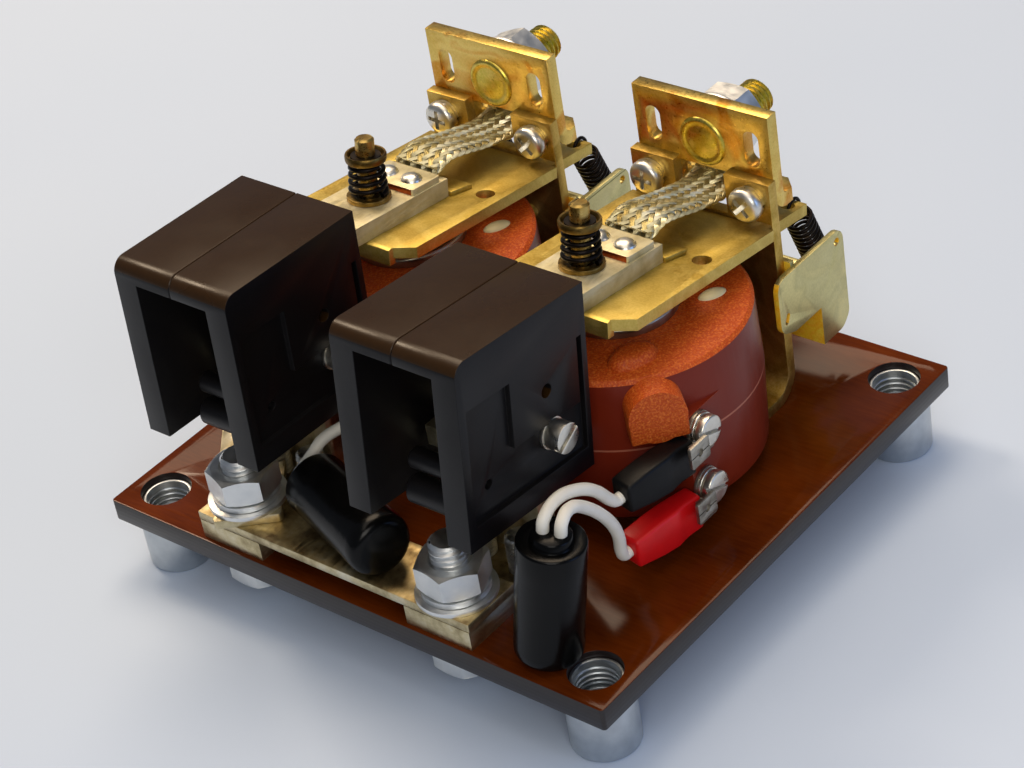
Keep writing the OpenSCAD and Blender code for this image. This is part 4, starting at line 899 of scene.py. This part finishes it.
heads = []
for x in UNIT.values():
    for z in TAB_HEIGHTS:
        heads.append(seat(cheese_head(), (x + HEAD_SEAT_X, TAB_Y, z), (1, 0, 0)))
        heads.append(seat(threaded(*M3, SCREW_LENGTH, 0.2, 16), (x + SCREW_FOOT_X, TAB_Y, z),
                          (-1, 0, 0)))
hand_in(join(heads), "coil_screws_recessed", ["coil_screws"], "zinc_hardware", SCREW_ZINC)
eased("coil_tabs", 0.1, "tinned_brass", TAB_TIN)
spares = eased("piggyback_tabs", 0.1, "tinned_brass", TAB_TIN)
for x in UNIT.values():
    for z in GROOVE_HEIGHTS:
        place = Matrix.Translation(Vector((x + GROOVE_X, GROOVE_Y, z)) * MM)
        cut(spares, block((0.5, 7, 0.22), place))


# Boots over the blades. Each ring is how far along it stands, its edge at the spare blade's
# side and half its height; the other side is straight.
BOOT_RINGS = [(0, 1.9, 3.9), (4.2, 1.95, 4.1), (5.6, 2.25, 4.15), (7.2, 2.65, 4.2),
              (11, 2.7, 4.0), (17.4, 2.6, 3.1)]
BOOT_BACK = 2.7
BOOT_POCKET = (2.6, 6.6, 16)
BOOT_X, BOOT_Y = 26.7, -10.3
BOOT_TURN = math.radians(-12)


def boot(x, z):
    """Moulded boot, drawn out from its mouth at the blade to the wire's end: the side beside
    the spare blade is let in, and the far end is lower."""
    put_down()
    bpy.ops.mesh.primitive_plane_add(size=1)
    piece = bpy.context.object
    edge, tall = BOOT_RINGS[0][1:]
    piece.data.transform(Matrix.Diagonal(((BOOT_BACK + edge) * MM, 2 * tall * MM, MM, 1)))
    piece.data.transform(Matrix.Translation(((edge - BOOT_BACK) / 2 * MM, 0, 0)))
    bpy.ops.object.mode_set(mode="EDIT")
    bpy.ops.mesh.select_all(action="SELECT")
    for (s0, e0, t0), (s1, e1, t1) in zip(BOOT_RINGS, BOOT_RINGS[1:]):
        bpy.ops.mesh.extrude_region_move(
            TRANSFORM_OT_translate={"value": ((e1 - e0) / 2 * MM, 0, (s1 - s0) * MM)})
        bpy.ops.transform.resize(value=((BOOT_BACK + e1) / (BOOT_BACK + e0), t1 / t0, 1),
                                 center_override=((e1 - BOOT_BACK) / 2 * MM, 0, s1 * MM))
    face_outwards()
    ease(piece, 0.7, 3)
    cut(piece, block(BOOT_POCKET))
    way = Matrix(((1, 0, 0), (0, 0, -1), (0, 1, 0))).to_4x4()
    piece.data.transform(Matrix.Translation(Vector((x + BOOT_X, BOOT_Y, z)) * MM)
                         @ Matrix.Rotation(BOOT_TURN, 4, "Z") @ way)
    piece.data.update()
    return piece


for tint, z, slot, finish in (("black", 38.35, "sleeve_black", BOOT_BLACK),
                              ("red", 25.0, "boot_red", BOOT_RED)):
    hand_in(join([boot(x, z) for x in UNIT.values()]), f"boots_{tint}_moulded",
            [f"connectors_{tint}"], slot, finish, angle=50)


# Suppressors and leads, whose routes are the source's. Each sleeve has its top end, the way
# it points, its foot, and how far its leads leave from the middle. Each lead has its name,
# the height of its boot, and the side of the middle that it leaves from.
SLEEVES = {
    1: ((-17.393, -45.596, 30.8), (-0.94552, 0.32557, 0), (10.5, -55.2, 30.8), (0, 0, 1.7)),
    2: ((50.975, -50.433, 47.450), (0.13812, 0.07344, 0.98769), (46.9, -52.6, 18.3135),
        (-1.6, -0.6, 0.27)),
}
ROUTES = {
    1: (((-19, -43, 34), (-18, -39, 37), (-13, -33, 39)),
        ((-19, -43, 27.5), (-18, -39, 26), (-13, -33, 25.5))),
    2: (((49.4, -47.5, 51.6), (49, -42.5, 50.6), (48.6, -35.5, 46.2)),
        ((51.9, -46.5, 50.3), (51, -42.3, 48), (50, -35.5, 40.7), (49, -30.8, 32.9))),
}
BOOT_WAY = Vector((-0.20791, -0.97815, 0))
MOUTH_X, MOUTH_Y = 23.082, -27.320
LEADS = (("upper", 38.2, 1), ("lower", 25.0, -1))
LEAD_RADIUS = 1.25


def lead_route(end, way, mouth, route):
    """Points of a lead from the suppressor's end, along its free route, into its boot."""
    end, way, mouth = Vector(end), Vector(way), Vector(mouth)
    points = [end, end + 2.5 * way] + [Vector(p) for p in route] + [mouth + 2 * BOOT_WAY, mouth]
    out = [points[0]]
    for a, b, c in zip(points, points[1:], points[2:]):
        out += [0.75 * b + 0.25 * a, 0.75 * b + 0.25 * c]
    return flowing(out + [points[-1]], 6)


def shrink_sleeve():
    """Sleeve along Z shrunk over a suppressor: round at the foot, uneven along its side, with
    a flat rim round the potting at the top."""
    return turned([(0, 0), (4.6, 0), (5.6, 0.25), (6.3, 0.9), (6.7, 1.8), (6.8, 3.4), (6.7, 9),
                   (6.78, 16), (6.72, 22), (6.75, 27.3), (6.62, 27.75), (6.3, 27.9),
                   (4.2, 27.6), (4.0, 27.9), (3.9, 29.2), (3.6, 29.5), (0, 29.3)], 64)


for n, (end, way, foot, apart) in SLEEVES.items():
    for (place, z, up), route in zip(LEADS, ROUTES[n]):
        start = Vector(end) + up * Vector(apart)
        row = lead_route(start, way, (UNIT[n] + MOUTH_X, MOUTH_Y, z), route)
        long = sum((b - a).length for a, b in zip(row, row[1:])) * MM
        lead = hand_in(wires([row], LEAD_RADIUS, 4), f"lead_{place}_{n}", [f"leads_{n}"],
                       "lead_white", LEAD_WHITE, angle=60)
    hand_in(seat(shrink_sleeve(), foot, way), f"sleeve_{n}", [f"suppressor_{n}"],
            "sleeve_black", SLEEVE, angle=50)


# Moving parts, placed in the closed drawing and then swung open.
LUG_THICK = 1.32
HEEL = (14.4, 59.8)
HEEL_SIZE = (16, 5.4, 1.1)
HEEL_FLARE = 1.15
POST_FOOT = 56.8
CUP_FOOT = 71.6


def is_sheared_end(face):
    """Picks the bare copper where a lug was sheared off at the front."""
    return face.normal.y < -0.6 and abs(face.normal.x) < 0.3


def plate_rivets(lug):
    """Gives the rivet heads, which stand above the lug, a zinc finish."""
    lug.data.materials.append(SCREW_ZINC)
    for face in lug.data.polygons:
        height = ((face.center.y / MM - HINGE[0]) * math.sin(OPEN)
                  + (face.center.z / MM - HINGE[1]) * math.cos(OPEN))
        if height > FINGER_TOP + LUG_THICK - HINGE[1]:
            face.material_index = 2


def heel_stop(x):
    """Plate behind a finger for its heel to rest on, a little wider at the back."""
    heel = block(HEEL_SIZE)
    for corner in heel.data.vertices:
        if corner.co.y > 0:
            corner.co.x *= HEEL_FLARE
    ease(heel, 0.25)
    y, z = opened(*HEEL)
    seat(heel, (x, y, z))
    heel.data.transform(Matrix.Translation((x * MM, y * MM, z * MM))
                        @ Matrix.Rotation(-OPEN, 4, "X")
                        @ Matrix.Translation((-x * MM, -y * MM, -z * MM)))
    return heel


def post_with_cup(x):
    """Grooved post with its pressed cup and clip ring, each in its own finish."""
    post = turned([(0, 0), (2, 0), (2, 15.3), (1.75, 15.5), (1.75, 16.3), (2, 16.5), (2, 19.6),
                   (1.6, 20), (0, 20)])
    cup = turned([(2.1, 0), (3.7, 0), (4.15, 0.2), (4.3, 0.6), (4.3, 1.5), (4.15, 1.8),
                  (3.8, 1.75), (3.55, 1.3), (3.4, 0.75), (2.1, 0.7), (2.1, 0)])
    clip = turned([(1.8, 0.75), (3.1, 0.75), (3.15, 1.1), (3.1, 1.4), (1.8, 1.4), (1.8, 0.75)])
    for part, foot, finish in ((post, POST_FOOT, POST_BRASS), (cup, CUP_FOOT, CUP_BRONZE),
                               (clip, CUP_FOOT, CLIP_STEEL)):
        seat(part, (x, *opened(POST_Y, foot)), SWING_WAY)
        paint(part, finish)
    return join([post, cup, clip])


for n, x in UNIT.items():
    eased(f"armature_{n}", 0.7, "yellow_zinc", ARMATURE_ZINC, steps=3,
          first=(1.6, 4, blunt(2)))
    eased(f"finger_{n}", 0.35, "finger_metal", FINGER_METAL)
    eased(f"moving_tip_{n}", 0.2, "contact_silver", SILVER)
    eased(f"seat_washer_{n}", 0.15, "brass_post", CUP_BRONZE)
    plate_rivets(eased(f"braid_lug_{n}", 0.12, "finger_metal", FINGER_METAL, COPPER_EDGE,
                       is_sheared_end))
    hand_in(heel_stop(x), f"finger_heel_stop_{n}", [], "yellow_zinc", ARMATURE_ZINC,
            body=f"armature_body_{n}")
    hand_in(post_with_cup(x), f"post_with_cup_{n}", [f"contact_post_{n}"], "brass_post", None,
            body=f"armature_body_{n}")


# Springs, wound as the source winds them, in millimetres.
CURL_STEPS = 32
CONTACT_TURNS = 4
CONTACT_RADIUS = 3.3
CONTACT_TAPER = 0.4
CONTACT_RISE = 6.3
CONTACT_WIRE = 0.5
RETURN_TURNS = 12
RETURN_RADIUS = 2.7
RETURN_WIRE = 0.4
RETURN_SIDE = 13.5
LOOP_RADIUS = 1.9
LOOP_RISE = 1.3
LOOP_SWEEP = 285
LOOP_STEPS = 24
SPIRAL_STEPS = 12
ANCHOR = (55.95, 35.8)
HOOK = opened(HINGE[0] + 10.9, HINGE[1] + 1.25)


def contact_spring_row():
    """Middle line of a contact spring, a little narrower toward its top."""
    steps = CONTACT_TURNS * CURL_STEPS
    row = []
    for i in range(steps + 1):
        f = i / steps
        r = CONTACT_RADIUS + CONTACT_TAPER * (1 - f)
        a = 2 * CONTACT_TURNS * math.pi * f
        row.append((r * math.cos(a), r * math.sin(a), CONTACT_WIRE + CONTACT_RISE * f))
    return row


def return_spring_row(length):
    """Middle line of a return spring: a hook's ring, a spiral out, the coils and back."""
    first = LOOP_RADIUS + LOOP_RISE
    body = length - 2 * first

    def ring(z, up):
        angles = [math.radians(LOOP_SWEEP * i / LOOP_STEPS) for i in range(LOOP_STEPS + 1)]
        return [(LOOP_RADIUS * math.sin(a), 0, z + up * LOOP_RADIUS * (1 - math.cos(a)))
                for a in angles]

    def spiral(z, up):
        row = []
        for i in range(1, SPIRAL_STEPS):
            f = i / SPIRAL_STEPS
            r = RETURN_RADIUS * math.cos(math.radians(90 * f))
            row.append((r * math.cos(math.pi * f), up * r * math.sin(math.pi * f),
                        z + up * LOOP_RISE * f))
        return row

    steps = RETURN_TURNS * CURL_STEPS
    coils = [(RETURN_RADIUS * math.cos(2 * math.pi * RETURN_TURNS * i / steps),
              RETURN_RADIUS * math.sin(2 * math.pi * RETURN_TURNS * i / steps),
              first + body * i / steps) for i in range(steps + 1)]
    return (ring(LOOP_RADIUS, -1)[::-1] + spiral(first, -1)[::-1] + coils
            + spiral(first + body, 1) + ring(first + body + LOOP_RISE, 1))


for n, x in UNIT.items():
    y, z = opened(POST_Y, FINGER_TOP + 1)
    spring = wires([contact_spring_row()], CONTACT_WIRE, 3)
    spring.data.transform(Matrix.Translation(Vector((x, y, z)) * MM)
                          @ Matrix.Rotation(-OPEN, 4, "X"))
    hand_in(spring, f"contact_spring_wound_{n}", [f"contact_spring_{n}"], "black_steel",
            SPRING_STEEL, angle=60, body="")
    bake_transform(spring)
    length = math.dist(ANCHOR, HOOK)
    lean = math.atan2(ANCHOR[0] - HOOK[0], HOOK[1] - ANCHOR[1])
    pair = []
    for side in (-RETURN_SIDE, RETURN_SIDE):
        spring = wires([return_spring_row(length)], RETURN_WIRE, 2)
        spring.data.transform(Matrix.Translation(Vector((x + side, ANCHOR[0], ANCHOR[1])) * MM)
                              @ Matrix.Rotation(lean, 4, "X")
                              @ Matrix.Rotation(math.pi / 2, 4, "Z"))
        pair.append(spring)
    springs = hand_in(join(pair), f"return_springs_wound_{n}", [f"return_springs_{n}"],
                      "black_steel", SPRING_STEEL, angle=60, body="")
    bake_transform(springs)


# Braids: a flattened tube of wires in bundles, in millimetres.
BRAID_MIDDLE = 64.3
BRAID_HALF = 4.9
BRAID_THICK = 0.7
CARRIERS = 16
STRANDS = 5
STRAND_GAP = 0.262
STRAND_RADIUS = 0.135
STRAND_WAVER = 0.04
WEAVE_LIFT = 0.19
WEAVE_SLOPE = 0.66


def braid_line():
    """Middle line of a braid from the lug, through the ears, up behind the plate."""
    first = Vector(opened(11.0, 64.5)) + Vector((0.3, 0.3))
    return [first - Vector((0.8, 0.0)), first, first + Vector((5, 0.6)),
            (28, BRAID_MIDDLE + 1.6), (36, BRAID_MIDDLE - 0.4), (41.2, BRAID_MIDDLE - 0.2),
            (42.2, BRAID_MIDDLE + 0.8), (42.2, 67.2)]


def stations(line, step):
    """Places along the line, three to a step: how far along, where, and which way is up."""
    reach = [0.0]
    for a, b in zip(line, line[1:]):
        reach.append(reach[-1] + (b - a).length)
    count = int(reach[-1] / step * 3)
    out = []
    j = 0
    for i in range(count + 1):
        s = reach[-1] * i / count
        while j < len(reach) - 2 and reach[j + 1] < s:
            j += 1
        t = (s - reach[j]) / (reach[j + 1] - reach[j])
        way = (line[min(j + 2, len(line) - 1)] - line[max(j - 1, 0)]).normalized()
        out.append((s, line[j].lerp(line[j + 1], t), Vector((0, -way.z, way.y))))
    return out


def tube_section(u, out):
    """A point of the flattened tube, so far along its girth and out from its middle: over the
    top, round one edge, back underneath and round the other."""
    bend = math.pi * BRAID_THICK
    if u < 2 * BRAID_HALF:
        return -BRAID_HALF + u, out
    if u < 2 * BRAID_HALF + bend:
        a = (u - 2 * BRAID_HALF) / BRAID_THICK
        return BRAID_HALF + out * math.sin(a), out * math.cos(a)
    if u < 4 * BRAID_HALF + bend:
        return BRAID_HALF - (u - 2 * BRAID_HALF - bend), -out
    a = (u - 4 * BRAID_HALF - bend) / BRAID_THICK
    return -BRAID_HALF - out * math.sin(a), -out * math.cos(a)


def woven_braid(x):
    """Flattened tube of tinned wires, two over and two under, five wires to a bundle."""
    girth = 4 * BRAID_HALF + 2 * math.pi * BRAID_THICK
    gap = girth / CARRIERS
    step = gap / (2 * WEAVE_SLOPE)
    places = stations(flowing([(0, *p) for p in braid_line()], 10), step)
    rows = []
    for way in (1, -1):
        for i in range(CARRIERS):
            for k in range(STRANDS):
                aside = (k - (STRANDS - 1) / 2) * STRAND_GAP
                row = []
                for s, at, up in places:
                    high = way * (-1) ** i * math.cos(math.pi / 2 * (s / step - 0.5 * way))
                    u = (i * gap + way * WEAVE_SLOPE * s + aside) % girth
                    out = BRAID_THICK + WEAVE_LIFT * high + STRAND_WAVER * math.sin(3 * k + i)
                    px, pz = tube_section(u, out)
                    row.append(at + Vector((x + px, 0, 0)) + up * pz)
                rows.append(row)
    return wires(rows, STRAND_RADIUS, 0)


for n, x in UNIT.items():
    braid = hand_in(woven_braid(x), f"woven_braid_{n}", [f"braid_{n}"], "braid_copper",
                    BRAID_COPPER, angle=80, body="")
    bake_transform(braid)

# Floor and light.
put_down()
bpy.ops.mesh.primitive_plane_add(size=4, location=(0, 0, 0))
floor = bpy.context.object
floor.name = "floor"
material, sheet, place = begin("paper_floor_pale")
clouds = add(sheet, "TexNoise", {"Vector": place, "Scale": 6, "Detail": 2})
shade = add(sheet, "Mix", {"Factor": clouds.outputs["Fac"], "A": "#b6c6dd", "B": "#bfcde1"},
            data_type="RGBA")
floor.data.materials.append(close(material, sheet, {"Base Color": shade.outputs[2],
                                                    "Roughness": 0.85}))


def lamp(name, at, size, power, shade):
    """Soft square lamp aimed at the object's middle."""
    data = bpy.data.lights.new(name, "AREA")
    data.size = size
    data.energy = power
    data.color = linear(shade)[:3]
    lit = put_in(name, data)
    lit.location = at
    lit.rotation_euler = (Vector((0, 0, 0.04)) - Vector(at)).to_track_quat("-Z", "Y").to_euler()


lamp("window_back", (-0.33, 0.38, 1.0), 0.6, 7.4, "#ffe6c6")
lamp("window_left", (-0.75, 0.1, 0.85), 0.25, 5.0, "#ffe6c6")
lamp("ceiling", (0.1, -0.1, 1.1), 0.9, 4.0, "#fff0de")
lamp("sky_right", (0.95, 0.25, 0.3), 0.5, 1.5, "#86aef5")
lamp("front", (0.62, -0.62, 0.6), 0.5, 3.4, "#fffaf2")

# The camera sees a pale backdrop, and the object a weaker sky.
world = bpy.data.worlds.new("studio")
world.use_nodes = True
bpy.context.scene.world = world
world.node_tree.nodes.clear()
seen = add(world.node_tree, "LightPath")
low = add(world.node_tree, "Background", {"Color": "#ccd8ec", "Strength": 0.22})
pale = add(world.node_tree, "Background", {"Color": "#dfe3e6", "Strength": 1.0})
mixed = add(world.node_tree, "MixShader", {0: seen.outputs["Is Camera Ray"], 1: low.outputs[0],
                                           2: pale.outputs[0]})
add(world.node_tree, "OutputWorld", {"Surface": mixed.outputs[0]})

put_down()
